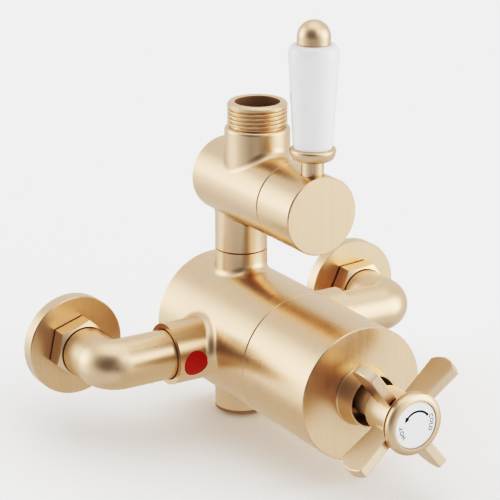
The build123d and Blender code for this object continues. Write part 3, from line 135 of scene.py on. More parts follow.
# Pieces inside: slot, finish, colour, roughness, how fine the clouds are, metallic
INNER_FINISHES = (
    ("plain_steel", "Drawn steel", (0.60, 0.60, 0.61), 0.26, 900.0, 1.0),
    ("seal_rubber", "Seal rubber", (0.02, 0.02, 0.02), 0.62, 1600.0, 0.0),
    ("acetal", "Acetal", (0.80, 0.80, 0.77), 0.42, 700.0, 0.0),
    ("capsule_copper", "Capsule copper", (0.72, 0.36, 0.20), 0.28, 600.0, 1.0),
    ("disc_ceramic", "Lapped ceramic", (0.82, 0.79, 0.72), 0.20, 1200.0, 0.0),
)
BARE_BRASS = (0.66, 0.47, 0.22)

# Words on the index disc: the turn of the middle in degrees, and how far out from the words' radius
WORDS = (("HOT", 198.0, -0.6), ("COLD", -1.0, 0.2))
LETTER_SIZE = 1.38  # of the font, for capitals of height one
LETTER_SPACE = 1.12
ARROW_HEAD = 20.0  # degrees that the head takes
HEAD_SPREAD = 1.4  # half the head's width, against the line's width
TAIL_SWELLING = 0.4  # added to half the line's width, against that width
TAIL_MIDDLE = 3.0  # degrees from the arrow's start to the swelling's middle
TAIL_REACH = 4.0  # degrees from there to its end

# How deep the backs of the arrow and of the words lie in the disc, in millimetres
ARROW_SINK = 0.02
WORD_SINK = 0.01

# Stage: half the floor's side in metres, and the shaded stretch of floor in X and Y in millimetres
FLOOR_REACH = 12.0
SHADE = ((-85.0, 85.0), (-145.0, 10.0))

# Soft patches of the studio light: azimuth from +X toward +Y, height, half width in degrees, gain
PATCHES = (
    (-140.6, 22.0, 50.3, -0.54),
    (-40.9, 9.8, 39.2, 0.90),
    (-76.8, 39.9, 24.5, 0.45),
    (138.6, 15.8, 31.1, 0.68),
    (143.1, -9.2, 34.2, 0.30),
    (0.0, 85.0, 46.0, 0.34),
    (-3.0, -78.7, 39.7, -0.18),
    (-163.6, -59.4, 99.3, -0.04),
    (-102.9, -7.4, 22.4, -0.27),
)
LEAST_LIGHT = 0.12

# Film curve: light in the scene against light in the picture
FILM_WHITE = 2.5
FILM_CURVE = (
    (0.10, 0.012), (0.20, 0.045), (0.26, 0.083), (0.33, 0.150), (0.40, 0.235), (0.50, 0.355),
    (0.64, 0.511), (0.80, 0.660), (1.03, 0.80), (1.25, 0.894), (1.60, 0.96),
)

# Sizes, colours and lights a user may change

class ValveFinish(bpy.types.PropertyGroup):
    """Colours and gloss of the pieces that show."""

    brass: bpy.props.FloatVectorProperty(
        name="Brass", description="Colour of the brushed brass", subtype="COLOR", size=3,
        default=(0.85, 0.70, 0.55), min=0, max=1)
    # A lighter, paler copy of the brass: painted light on the cross-head, whose paddles mirror the brass
    # cover
    crosshead_lit_brass: bpy.props.FloatVectorProperty(
        name="Cross-head lit brass", description="Colour of the cross-head", subtype="COLOR", size=3,
        default=(0.865, 0.73, 0.59), min=0, max=1)
    # Darker than the brass: painted shade for the plug, which sits in the shadow under the body
    plug_shaded_brass: bpy.props.FloatVectorProperty(
        name="Plug brass painted shade", description="Colour of the plug under the body", subtype="COLOR", size=3,
        default=(0.50, 0.38, 0.27), min=0, max=1)
    brass_roughness: bpy.props.FloatProperty(
        name="Brass roughness", description="Spread of the reflections in the brushed brass",
        default=0.30, min=0, max=1)
    brush_depth: bpy.props.FloatProperty(
        name="Brush depth", description="Height of the brushing lines", default=0.002, min=0, max=1)
    glaze: bpy.props.FloatVectorProperty(
        name="Glaze", description="Colour of the white glazed pieces", subtype="COLOR", size=3,
        default=(0.97, 0.97, 0.97), min=0, max=1)
    enamel: bpy.props.FloatVectorProperty(
        name="Enamel", description="Colour of the hot marker", subtype="COLOR", size=3,
        default=(0.62, 0.060, 0.040), min=0, max=1)
    ink: bpy.props.FloatVectorProperty(
        name="Ink", description="Colour of the arrow on the index disc", subtype="COLOR", size=3,
        default=(0.02, 0.02, 0.022), min=0, max=1)
    word_ink: bpy.props.FloatVectorProperty(
        name="Word ink", description="Colour of the words on the index disc", subtype="COLOR", size=3,
        default=(0.05, 0.05, 0.055), min=0, max=1)


class ValveThread(bpy.types.PropertyGroup):
    """Sizes of the pipe threads."""

    pitch: bpy.props.FloatProperty(
        name="Pitch", description="Distance between two crests", subtype="DISTANCE", unit="LENGTH",
        default=1.814 * MM)
    depth: bpy.props.FloatProperty(
        name="Depth", description="Crest to root", subtype="DISTANCE", unit="LENGTH", default=0.80 * MM)
    plain_rim: bpy.props.FloatProperty(
        name="Plain rim", description="Unthreaded length at the open end", subtype="DISTANCE",
        unit="LENGTH", default=1.5 * MM)
    run_out: bpy.props.FloatProperty(
        name="Run-out", description="Undercut length at the shoulder", subtype="DISTANCE",
        unit="LENGTH", default=0.7 * MM)
    chamfer: bpy.props.FloatProperty(
        name="Chamfer", description="Chamfer of the open end", subtype="DISTANCE", unit="LENGTH",
        default=1.0 * MM)


class ValvePrint(bpy.types.PropertyGroup):
    """The print on the index disc."""

    arrow_radius: bpy.props.FloatProperty(
        name="Arrow radius", description="Radius of the curved arrow", subtype="DISTANCE",
        unit="LENGTH", default=6.5 * MM)
    arrow_start: bpy.props.FloatProperty(
        name="Arrow start", description="Where the arrow starts, on the cold side", subtype="ANGLE",
        default=radians(36))
    arrow_end: bpy.props.FloatProperty(
        name="Arrow end", description="Where the arrow points, on the hot side", subtype="ANGLE",
        default=radians(157))
    arrow_width: bpy.props.FloatProperty(
        name="Arrow width", description="Width of the arrow's line", subtype="DISTANCE", unit="LENGTH",
        default=0.66 * MM)
    arrow_shift: bpy.props.FloatVectorProperty(
        name="Arrow shift", description="Across and up, from the middle of the disc",
        subtype="TRANSLATION", unit="LENGTH", size=2, default=(0.65 * MM, -0.55 * MM))
    word_height: bpy.props.FloatProperty(
        name="Word height", description="Height of the letters", subtype="DISTANCE", unit="LENGTH",
        default=1.9 * MM)
    word_radius: bpy.props.FloatProperty(
        name="Word radius", description="Radius that the letters stand on", subtype="DISTANCE",
        unit="LENGTH", default=6.9 * MM)
    ink_height: bpy.props.FloatProperty(
        name="Ink height", description="How far the print stands out", subtype="DISTANCE",
        unit="LENGTH", default=0.03 * MM)


class ValveStage(bpy.types.PropertyGroup):
    """Floor, light and camera."""

    floor_colour: bpy.props.FloatVectorProperty(
        name="Floor", description="Colour of the pale floor", subtype="COLOR", size=3,
        default=(0.98, 0.98, 0.98), min=0, max=1)
    floor_glow: bpy.props.FloatProperty(
        name="Floor glow", description="Light of the floor's own, which keeps it near white",
        default=0.17, min=0)
    shade: bpy.props.FloatVectorProperty(
        name="Shade", description="What the undersides mirror of the floor's shade", subtype="COLOR",
        size=3, default=(0.80, 0.76, 0.71), min=0, max=1)
    floor_gap: bpy.props.FloatProperty(
        name="Floor gap", description="Space between the lowest point and the floor",
        subtype="DISTANCE", unit="LENGTH", default=1.0 * MM)
    light: bpy.props.FloatProperty(
        name="Light", description="Strength of the even studio light", default=0.91, min=0)
    camera_place: bpy.props.FloatVectorProperty(
        name="Camera", description="Where the camera stands", subtype="TRANSLATION", unit="LENGTH",
        size=3, default=(-476.0 * MM, -805.3 * MM, 343.8 * MM))
    camera_aim: bpy.props.FloatVectorProperty(
        name="Aim", description="The point that the camera looks at", subtype="TRANSLATION",
        unit="LENGTH", size=3, default=(9.76 * MM, -17.25 * MM, 33.23 * MM))
    lens: bpy.props.FloatProperty(
        name="Lens", description="Focal length on a 36 mm wide frame, in millimetres",
        default=153.14, min=1)


# Meshes worked out with numpy

def grid_faces(numbers):
    """Faces between a grid's point numbers.

    Each joins the points (i, j), (i, j + 1), (i + 1, j + 1) and (i + 1, j).
    """
    corners = (numbers[:-1, :-1], numbers[:-1, 1:], numbers[1:, 1:], numbers[1:, :-1])
    return np.stack(corners, axis=-1).reshape(-1, 4)


def sheet_object(name, grid, body, closed_along=False):
    """Make a surface from a grid of points.

    grid[i, j] is the point at step i along the surface and step j across it. The last column joins the
    first, and so does the last row of a surface that is closed along.
    """
    rows, columns = grid.shape[:2]
    numbers = np.arange(rows * columns).reshape(rows, columns)
    if closed_along:
        numbers = np.vstack([numbers, numbers[:1]])
    numbers = np.hstack([numbers, numbers[:, :1]])
    mesh = bpy.data.meshes.new(name)
    mesh.from_pydata(grid.reshape(-1, 3), [], grid_faces(numbers))
    mesh.validate()
    mesh.shade_smooth()
    mesh.set_sharp_from_angle(angle=radians(SHARP))
    piece = bpy.data.objects.new(name, mesh)
    bpy.context.scene.collection.objects.link(piece)
    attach(piece, body)
    return piece


def close_ends(grid):
    """Close the two ends of a tube of points by a row at each end's middle."""
    first = np.repeat(grid[:1].mean(axis=1, keepdims=True), grid.shape[1], axis=1)
    last = np.repeat(grid[-1:].mean(axis=1, keepdims=True), grid.shape[1], axis=1)
    return np.concatenate([first, grid, last], axis=0)


def ring_points(origin, along, places, radii, turns):
    """Points of a turned surface.

    The point at step i, j is origin + along * places + radius * (first * cos(turn) + second * sin(turn)),
    where first, second and along are square to each other. places and radii may change with the turn.
    """
    first = np.cross(along, (0.0, 0.0, 1.0) if abs(along[2]) < 0.9 else (0.0, 1.0, 0.0))
    first /= np.linalg.norm(first)
    second = np.cross(along, first)
    spoke = first * np.cos(turns)[None, :, None] + second * np.sin(turns)[None, :, None]
    return origin + along * places[..., None] + radii[..., None] * spoke


def thread_rings(length, crest, bore, thread, steps_per_turn=14, count=112):
    """Places and radii of a threaded sleeve, as a function of the turn angle.

    The radius is crest - depth * (1 - ridge), where ridge goes smoothly from 0 at the root to 1 at the
    crest with the phase (place - pitch * turn / full turn) / pitch. It is held at the crest by the plain
    rim and at the root by the run-out. The sleeve closes over its flat end into the bore.
    """
    turns = np.arange(count) * 2 * pi / count
    rows = int(round(length / thread.pitch * steps_per_turn))
    place = np.linspace(0.0, length - thread.chamfer, rows)[:, None]
    phase = (place / thread.pitch - turns[None, :] / (2 * pi)) % 1.0
    ridge = np.clip((np.abs(2 * phase - 1) - ROOT_FLAT) / FLANK, 0, 1)
    ridge = ridge * ridge * (3 - 2 * ridge)
    rise = thread.pitch / 4
    rim = np.clip((place - (length - thread.chamfer - thread.plain_rim)) / rise, 0, 1)
    root = np.clip((thread.run_out - place) / rise + 1, 0, 1)
    radius = crest - thread.depth * np.maximum((1 - ridge) * (1 - rim), root)
    places = [place * np.ones_like(radius)]
    radii = [radius]
    edge = thread.chamfer
    end_outline = (
        (length - edge * 0.5, crest - edge * 0.42),
        (length - edge * 0.12, crest - edge * 0.80),
        (length, crest - edge),
        (length, bore + edge * 0.35),
        (length - edge * 0.12, bore + edge * 0.12),
        (length - edge * 0.35, bore),
        (length - edge, bore),
        (length - edge, bore + edge * 0.6),
        (0.0, bore + edge * 0.6),
    )
    for end_place, end_radius in end_outline:
        places.append(np.full((1, count), end_place))
        radii.append(np.full((1, count), end_radius))
    return np.vstack(places), np.vstack(radii), turns


def merged_copy(node, name, cut=None):
    """A copy of a CAD node's mesh with its doubled points merged, which then stands for the node.

    cut is the height of a row of edges to add, for a rim to be drawn in.
    """
    work = bmesh.new()
    work.from_mesh(NODES[node].data)
    bmesh.ops.remove_doubles(work, verts=work.verts, dist=1e-6)
    if cut is not None:
        whole = work.verts[:] + work.edges[:] + work.faces[:]
        bmesh.ops.bisect_plane(work, geom=whole, dist=1e-7, plane_co=(0, 0, cut), plane_no=(0, 0, 1))
    mesh = bpy.data.meshes.new(name)
    work.to_mesh(mesh)
    work.free()
    mesh.attributes.remove(mesh.attributes["custom_normal"])
    mesh.shade_smooth()
    mesh.set_sharp_from_angle(angle=radians(COPY_SHARP))
    piece = bpy.data.objects.new(name, mesh)
    bpy.context.scene.collection.objects.link(piece)
    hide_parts(node)
    return piece


def move_points(piece, change):
    """Change all the points of a mesh at once with a function of their array."""
    mesh = piece.data
    points = np.empty(len(mesh.vertices) * 3)
    mesh.vertices.foreach_get("co", points)
    mesh.vertices.foreach_set("co", change(points.reshape(-1, 3)).ravel())
    mesh.update()
    mesh.set_sharp_from_angle(angle=radians(COPY_SHARP))


def draw_in_rim(points):
    """Draw in the rim that the two bodies meet at, which leaves a fine V round the riser.

    A point of the rim moves toward the riser's axis by the seam's depth.
    """
    away = points[:, :2] - (0.0, RISER_Y * MM)
    reach = np.hypot(away[:, 0], away[:, 1])
    rim = np.abs(points[:, 2] - RISER_SEAM * MM) < CLOSE * MM
    rim &= np.abs(reach - RISER_RADIUS * MM) < SLACK * MM
    points[rim, :2] -= away[rim] * (SEAM_DEPTH * MM / reach[rim])[:, None]
    return points


def cut_thread(piece, name, mount, along, ends, foot, inner, bore, thread):
    """Draw a plain neck in to the thread's core, and put a threaded sleeve round it.

    along is the number of the axis that the neck runs along, and the sleeve goes from one of the two ends
    on it to the other. The neck is drawn in past its foot, where it is wider than inner.
    """
    start, end = ends
    crest = mount["dims"]["r_mm"] * MM
    core = crest - thread.depth - THREAD_CORE * MM
    across = [axis for axis in range(3) if axis != along]
    origin = np.array(mount["pos_m"], float)
    centre = origin[across]

    def draw_in(points):
        """A point goes to centre + core * (point - centre) / distance, and the rim back by the chamfer."""
        away = points[:, across] - centre
        reach = np.hypot(away[:, 0], away[:, 1])
        neck = (points[:, along] > foot) & (reach < crest + CLOSE * MM) & (reach > max(core, inner))
        points[np.ix_(neck, across)] = centre + away[neck] * (core / reach[neck])[:, None]
        points[points[:, along] > end - NECK_ROOM * MM, along] -= thread.chamfer
        return points

    move_points(piece, draw_in)
    places, radii, turns = thread_rings(end - start, crest, bore, thread)
    origin[along] = start
    grid = ring_points(origin, np.eye(3)[along], places, radii, turns)
    sleeve = sheet_object(name, grid, "valve", closed_along=True)
    wear(sleeve, bpy.data.materials["Satin brass"])


# Finishes

def new_material(name):
    """An empty node material and its principled shader."""
    material = bpy.data.materials.new(name)
    material.use_nodes = True
    return material, principled(material)


def principled(material):
    """The principled shader of a material."""
    return next(node for node in material.node_tree.nodes if node.type == "BSDF_PRINCIPLED")


def add_node(tree, kind, values=None, links=None, **settings):
    """Add a node with its settings, the values of its sockets and the sockets that feed it."""
    node = tree.nodes.new("ShaderNode" + kind)
    for name, setting in settings.items():
        setattr(node, name, setting)
    for socket, value in (values or {}).items():
        node.inputs[socket].default_value = value
    for socket, source in (links or {}).items():
        tree.links.new(source, node.inputs[socket])
    return node


def put_out_shades(group, value, inside, outside):
    """Spread a noise value over a group's two colours and two roughnesses, and put it out as a height."""
    ends = {"From Min": 0.3, "From Max": 0.7}
    share = add_node(group, "MapRange", ends, {"Value": value})
    colours = {"Factor": share.outputs["Result"], "A": inside["Dark"], "B": inside["Light"]}
    tint = add_node(group, "Mix", links=colours, data_type="RGBA")
    limits = {"Value": value, "To Min": inside["Least roughness"], "To Max": inside["Most roughness"]}
    gloss = add_node(group, "MapRange", ends, limits)
    group.links.new(tint.outputs["Result"], outside["Colour"])
    group.links.new(gloss.outputs["Result"], outside["Roughness"])
    group.links.new(value, outside["Height"])


def build_brushing(group, inside, outside):
    """Noise drawn out one way round the sides and another way over the faces that look along Y."""
    lines = []
    for direction in ("Side lines", "Face lines"):
        stretch = {0: inside["Vector"], 1: inside[direction]}
        drawn = add_node(group, "VectorMath", links=stretch, operation="MULTIPLY")
        noise = add_node(
            group, "TexNoise", {"Scale": 1.0, "Detail": 3.0, "Roughness": 0.6}, {"Vector": drawn.outputs[0]})
        lines.append(noise.outputs["Fac"])
    split = add_node(group, "SeparateXYZ", links={0: inside["Normal"]})
    front = add_node(group, "Math", links={0: split.outputs["Y"]}, operation="ABSOLUTE")
    facing = add_node(
        group, "MapRange", {"From Min": 0.90, "From Max": 0.99}, {"Value": front.outputs[0]},
        interpolation_type="SMOOTHSTEP")
    ways = {"Factor": facing.outputs["Result"], "A": lines[0], "B": lines[1]}
    mixed = add_node(group, "Mix", links=ways, data_type="FLOAT")
    put_out_shades(group, mixed.outputs["Result"], inside, outside)


def build_clouds(group, inside, outside):
    """Even noise of a chosen size and detail."""
    sources = {label: inside[label] for label in ("Vector", "Scale", "Detail")}
    noise = add_node(group, "TexNoise", links=sources)
    put_out_shades(group, noise.outputs["Fac"], inside, outside)


def build_hollow(group, inside, outside):
    """One inside a hollow, zero elsewhere: nearer to its axis than its radius, and within its length."""
    away = add_node(
        group, "VectorMath", links={0: inside["Vector"], 1: inside["Centre"]}, operation="SUBTRACT")
    flat = add_node(
        group, "VectorMath", links={0: away.outputs[0], 1: inside["Across"]}, operation="MULTIPLY")
    reach = add_node(group, "VectorMath", links={0: flat.outputs[0]}, operation="LENGTH")
    near = add_node(
        group, "Math", links={0: reach.outputs["Value"], 1: inside["Radius"]}, operation="LESS_THAN")
    depth = add_node(
        group, "VectorMath", links={0: inside["Vector"], 1: inside["Along"]}, operation="DOT_PRODUCT")
    stretch = {0: depth.outputs["Value"], 1: inside["Middle"], 2: inside["Half length"]}
    within = add_node(group, "Math", links=stretch, operation="COMPARE")
    both = add_node(group, "Math", links={0: near.outputs[0], 1: within.outputs[0]}, operation="MULTIPLY")
    group.links.new(both.outputs[0], outside["Mask"])


# Effects that several finishes share: a group's inputs and outputs with their kinds, and its builder
SHADES_IN = {"Dark": "Color", "Light": "Color", "Least roughness": "Float", "Most roughness": "Float"}
SHADES_OUT = {"Colour": "Color", "Roughness": "Float", "Height": "Float"}
EFFECTS = {
    "Brushing": (
        {"Vector": "Vector", "Normal": "Vector", "Side lines": "Vector", "Face lines": "Vector",
         **SHADES_IN},
        SHADES_OUT, build_brushing),
    "Clouds": (
        {"Vector": "Vector", "Scale": "Float", "Detail": "Float", **SHADES_IN}, SHADES_OUT, build_clouds),
    "Hollow": (
        {"Vector": "Vector", "Centre": "Vector", "Across": "Vector", "Radius": "Float", "Along": "Vector",
         "Middle": "Float", "Half length": "Float"},
        {"Mask": "Float"}, build_hollow),
}


def add_effect(tree, name, values, links):
    """Place an effect in a material with its own values. Its node group is built the first time."""
    group = bpy.data.node_groups.get(name)
    if group is None:
        inputs, outputs, build = EFFECTS[name]
        group = bpy.data.node_groups.new(name, "ShaderNodeTree")
        for label, kind in inputs.items():
            group.interface.new_socket(label, in_out="INPUT", socket_type="NodeSocket" + kind)
        for label, kind in outputs.items():
            group.interface.new_socket(label, in_out="OUTPUT", socket_type="NodeSocket" + kind)
        build(group, group.nodes.new("NodeGroupInput").outputs, group.nodes.new("NodeGroupOutput").inputs)
    return add_node(tree, "Group", values, links, node_tree=group)


def shade_of(colour, share):
    """A colour made darker or lighter by a share, as a socket takes it."""
    return (*[min(1.0, channel * share) for channel in colour], 1.0)


def add_relief(tree, shader, height, strength, distance):
    """Let a height stand out of the surface, by at most a distance in millimetres."""
    bump = add_node(tree, "Bump", {"Strength": strength, "Distance": distance * MM}, {"Height": height})
    tree.links.new(bump.outputs["Normal"], shader.inputs["Normal"])


def brushed_metal(name, colour, roughness, depth, side_lines, face_lines):
    """Satin metal: fine brushing lines, with faint clouds in the gloss."""
    material, shader = new_material(name)
    tree = material.node_tree
    place = add_node(tree, "TexCoord")
    brushing = add_effect(tree, "Brushing", {
        "Side lines": side_lines, "Face lines": face_lines,
        "Dark": shade_of(colour, LINE_TINTS[0]), "Light": shade_of(colour, LINE_TINTS[1]),
        "Least roughness": roughness - LINE_SPREAD, "Most roughness": roughness + LINE_SPREAD,
    }, {"Vector": place.outputs["Object"], "Normal": place.outputs["Normal"]})
    clouds = add_effect(tree, "Clouds", {
        "Scale": CLOUD_SCALE, "Detail": 2.0,
        "Least roughness": -CLOUD_SPREAD, "Most roughness": CLOUD_SPREAD,
    }, {"Vector": place.outputs["Object"]})
    parts = {0: brushing.outputs["Roughness"], 1: clouds.outputs["Roughness"]}
    gloss = add_node(tree, "Math", links=parts, operation="ADD")
    tree.links.new(brushing.outputs["Colour"], shader.inputs["Base Color"])
    tree.links.new(gloss.outputs[0], shader.inputs["Roughness"])
    add_relief(tree, shader, brushing.outputs["Height"], depth, 0.02)
    shader.inputs["Metallic"].default_value = 1.0
    return material


def paint_shade_in_hollows(material):
    """Paint shade into the hollows of a brushed piece: a darker colour, less metallic and rougher."""
    tree = material.node_tree
    shader = principled(material)
    place = add_node(tree, "TexCoord")
    for colour, values in HOLLOWS.values():
        hollow = add_effect(tree, "Hollow", values, {"Vector": place.outputs["Object"]})
        for label, kind, painted_shade in (
            ("Base Color", "RGBA", shade_of(colour, 1.0)),
            ("Metallic", "FLOAT", HOLLOW_SHADE_METALLIC),
            ("Roughness", "FLOAT", HOLLOW_SHADE_ROUGHNESS),
        ):
            socket = shader.inputs[label]
            mixed = add_node(tree, "Mix", data_type=kind)
            mixed.inputs["A"].default_value = socket.default_value
            mixed.inputs["B"].default_value = painted_shade
            if socket.is_linked:
                tree.links.new(socket.links[0].from_socket, mixed.inputs["A"])
            tree.links.new(hollow.outputs["Mask"], mixed.inputs["Factor"])
            tree.links.new(mixed.outputs["Result"], socket)


def clouded(name, colour, roughness, scale, detail=4.0, tints=(0.93, 1.05), spread=0.04, relief=0.06,
            metallic=0.0, coat=0.0, coat_roughness=0.03):
    """Glazed, enamelled, moulded or turned piece: fine clouds in the colour, the gloss and the height."""
    material, shader = new_material(name)
    tree = material.node_tree
    place = add_node(tree, "TexCoord")
    clouds = add_effect(tree, "Clouds", {
        "Scale": scale, "Detail": detail,
        "Dark": shade_of(colour, tints[0]), "Light": shade_of(colour, tints[1]),
        "Least roughness": roughness - spread, "Most roughness": roughness + spread,
    }, {"Vector": place.outputs["Object"]})
    tree.links.new(clouds.outputs["Colour"], shader.inputs["Base Color"])
    tree.links.new(clouds.outputs["Roughness"], shader.inputs["Roughness"])
    add_relief(tree, shader, clouds.outputs["Height"], relief, 0.05)
    shader.inputs["Metallic"].default_value = metallic
    shader.inputs["Coat Weight"].default_value = coat
    shader.inputs["Coat Roughness"].default_value = coat_roughness
    return material


def dress(piece, material):
    """Give a piece one material."""
    piece.data.materials.clear()
    piece.data.materials.append(material)


def wear(piece, material):
    """Dress a piece of the scene's own."""
    dress(piece, material)


def dress_nodes(slot, material):
    """Give every CAD node of a slot one material."""
    for node, its_slot in SLOT_OF.items():
        if its_slot == slot:
            dress(NODES[node], material)


# Steps

class VALVE_OT_stage(bpy.types.Operator):
    """Build the pale floor, the soft studio light and the camera"""

    bl_idname = "valve.stage"
    bl_label = "Stage"

    def execute(self, context):
        look = context.scene.valve_stage
        lowest = CAD_BOX[0].z - look.floor_gap
        side = (-FLOOR_REACH, FLOOR_REACH)
        floor = self.flat_sheet("studio_floor", side, side, lowest)
        # The brass mirrors the dome and the shade card in the floor's place
        floor.visible_glossy = False
        material, shader = new_material("Pale floor")
        shader.inputs["Base Color"].default_value = (*look.floor_colour, 1)
        shader.inputs["Roughness"].default_value = 1.0
        shader.inputs["Specular IOR Level"].default_value = 0.0
        shader.inputs["Emission Color"].default_value = (1, 1, 1, 1)
        shader.inputs["Emission Strength"].default_value = look.floor_glow
        dress(floor, material)
        self.shade_card(look, lowest)
        self.light_world(context, look)
        camera = bpy.data.objects.new("camera", bpy.data.cameras.new("camera"))
        context.scene.collection.objects.link(camera)
        camera.location = look.camera_place
        aim = Vector(look.camera_aim) - Vector(look.camera_place)
        camera.rotation_mode = "QUATERNION"
        camera.rotation_quaternion = aim.to_track_quat("-Z", "Y")
        camera.data.lens = look.lens
        camera.data.sensor_width = 36.0
        context.scene.camera = camera
        self.film(context.scene.view_settings)
        return {"FINISHED"}

    def flat_sheet(self, name, across, along, height, count=9):
        """A flat stage sheet. Its points are (across, along, height), evenly spaced both ways."""
        x, y = np.meshgrid(np.linspace(*across, count), np.linspace(*along, count))
        grid = np.stack([x, y, np.full_like(x, height)], axis=-1)
        mesh = bpy.data.meshes.new(name)
        mesh.from_pydata(grid.reshape(-1, 3), [], grid_faces(np.arange(count * count).reshape(count, count)))
        sheet = bpy.data.objects.new(name, mesh)
        bpy.context.scene.collection.objects.link(sheet)
        return sheet

    def shade_card(self, look, lowest):
        """The shade that the valve throws on the floor, as a dim card that only reflections see."""
        across, along = np.array(SHADE) * MM
        card = self.flat_sheet("shade_card", across, along, lowest + look.floor_gap / 4)
        card.visible_camera = False
        card.visible_diffuse = False
        card.visible_transmission = False
        card.visible_shadow = False
        material, shader = new_material("Shade")
        shader.inputs["Base Color"].default_value = (0, 0, 0, 1)
        shader.inputs["Specular IOR Level"].default_value = 0.0
        shader.inputs["Emission Color"].default_value = (*look.shade, 1)
        shader.inputs["Emission Strength"].default_value = 1.0
        dress(card, material)

    def film(self, settings):
        """A film curve that deepens the shadows and rolls off the bright end."""
        settings.view_transform = "Standard"
        settings.use_curve_mapping = True
        mapping = settings.curve_mapping
        mapping.white_level = (FILM_WHITE, FILM_WHITE, FILM_WHITE)
        curve = mapping.curves[3]
        for light, shown in FILM_CURVE:
            curve.points.new(light / FILM_WHITE, shown)
        mapping.update()

    def light_world(self, context, look):
        """An even dome with broad soft bright and dark patches.

        Each patch is a smooth step of the cosine between the direction and the patch's middle.
        """
        world = bpy.data.worlds.new("Studio")
        context.scene.world = world
        world.use_nodes = True
        tree = world.node_tree
        background = next(node for node in tree.nodes if node.type == "BACKGROUND")
        place = add_node(tree, "TexCoord")
        total = None
        for azimuth, height, width, gain in PATCHES:
            level = cos(radians(height))
            middle = (cos(radians(azimuth)) * level, sin(radians(azimuth)) * level, sin(radians(height)))
            near = add_node(
                tree, "VectorMath", {1: middle}, {0: place.outputs["Generated"]}, operation="DOT_PRODUCT")
            patch = add_node(
                tree, "MapRange", {"From Min": cos(radians(width)), "From Max": 1.0, "To Max": gain},
                {"Value": near.outputs["Value"]}, interpolation_type="SMOOTHSTEP")
            added = add_node(tree, "Math", {1: look.light}, {0: patch.outputs["Result"]}, operation="ADD")
            if total is not None:
                tree.links.new(total, added.inputs[1])
            total = added.outputs[0]
        low = add_node(tree, "Math", {1: LEAST_LIGHT}, {0: total}, operation="MAXIMUM")
        tree.links.new(low.outputs[0], background.inputs["Strength"])
        background.inputs["Color"].default_value = (1, 1, 1, 1)


class VALVE_OT_brass(bpy.types.Operator):
    """Give the brushed brass pieces their satin finish"""

    bl_idname = "valve.brass"
    bl_label = "Brushed brass"

    def execute(self, context):
        look = context.scene.valve_finish
        brushing = (look.brass_roughness, look.brush_depth, SIDE_LINES, FACE_LINES)
        brass = brushed_metal("Satin brass", look.brass, *brushing)
        crosshead_lit = brushed_metal("Cross-head lit brass", look.crosshead_lit_brass, *brushing)
        # Both brasses get painted shade in their hollows
        for material in (brass, crosshead_lit):
            paint_shade_in_hollows(material)
        dress_nodes("satin_brass", brass)
        # The cross-head wears the lighter copy of the brass: painted light
        dress(NODES["knob_crosshead"], crosshead_lit)
        # The plug wears the darker brass: painted shade under the body
        dress(NODES["bottom_plug"], brushed_metal("Plug brass painted shade", look.plug_shaded_brass, *brushing))
        return {"FINISHED"}


class VALVE_OT_glaze(bpy.types.Operator):
    """Give the grip and the index disc their white glaze, and the marker its enamel"""

    bl_idname = "valve.glaze"
    bl_label = "Glaze and enamel"

    def execute(self, context):
        look = context.scene.valve_finish
        dress_nodes("white_glaze", clouded(
            "White glaze", look.glaze, 0.12, 120.0, detail=3.0, tints=(0.985, 1.0), spread=0.02,
            relief=0.04, coat=0.6, coat_roughness=0.04))
        dress_nodes("red_enamel", clouded("Red enamel", look.enamel, 0.32, 900.0, coat=0.2))
        # Keeps a red spot off the brass beside it
        NODES["hot_marker"].visible_glossy = False
        return {"FINISHED"}


class VALVE_OT_inner_finishes(bpy.types.Operator):
    """Finish the pieces inside: bare brass, steel, rubber, plastic, copper and ceramic"""

    bl_idname = "valve.inner_finishes"
    bl_label = "Inner finishes"

    def execute(self, context):
        dress_nodes("bare_brass", brushed_metal(
            "Bare brass", BARE_BRASS, 0.30, 0.3, TURNED_SIDE_LINES, TURNED_FACE_LINES))
        for slot, name, colour, roughness, scale, metallic in INNER_FINISHES:
            dress_nodes(slot, clouded(name, colour, roughness, scale, metallic=metallic))
        return {"FINISHED"}


class VALVE_OT_outlet_thread(bpy.types.Operator):
    """Cut the pipe thread of the riser outlet"""

    bl_idname = "valve.outlet_thread"
    bl_label = "Outlet thread"

    def execute(self, context):
        mount = MOUNTS["outlet"]
        lower_end = mount["pos_m"][2] - mount["dims"]["length_mm"] * MM / 2
        shoulder = OUTLET_SHOULDER * MM
        if not shoulder < lower_end + NECK_ROOM * MM:
            raise RuntimeError("the outlet mount doesn't reach the shoulder")
        body = merged_copy("flow_body", "flow_body_dressed", (RISER_SEAM + SEAM_EDGE) * MM)
        ends = (shoulder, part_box("flow_body")[1].z)
        cut_thread(
            body, "outlet_thread", mount, 2, ends, OUTLET_FOOT * MM, 0.0, OUTLET_BORE * MM,
            context.scene.valve_thread)
        move_points(body, draw_in_rim)
        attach(body, "valve")
        wear(body, bpy.data.materials["Satin brass"])
        return {"FINISHED"}


class VALVE_OT_riser_seam(bpy.types.Operator):
    """Break the edge of the mixer body's riser boss, so that the seam under the flow body shows"""

    bl_idname = "valve.riser_seam"
    bl_label = "Riser seam"

    def execute(self, context):
        body = merged_copy("mixer_body", "mixer_body_dressed", (RISER_SEAM - SEAM_EDGE) * MM)
        move_points(body, draw_in_rim)
        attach(body, "valve")
        wear(body, bpy.data.materials["Satin brass"])
        return {"FINISHED"}


class VALVE_OT_tail_threads(bpy.types.Operator):
    """Cut the pipe threads of the two wall tails"""

    bl_idname = "valve.tail_threads"
    bl_label = "Tail threads"

    def execute(self, context):
        for side in ("hot", "cold"):
            node = side + "_tail"
            tail = merged_copy(node, node + "_dressed")
            ends = (TAIL_THREAD_START * MM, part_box(node)[1].y)
            cut_thread(
                tail, node + "_thread", MOUNTS[side + "_inlet"], 1, ends, TAIL_FOOT * MM,
                TAIL_UNDERCUT * MM, TAIL_BORE * MM, context.scene.valve_thread)
            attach(tail, "valve")
            wear(tail, bpy.data.materials["Satin brass"])
        return {"FINISHED"}


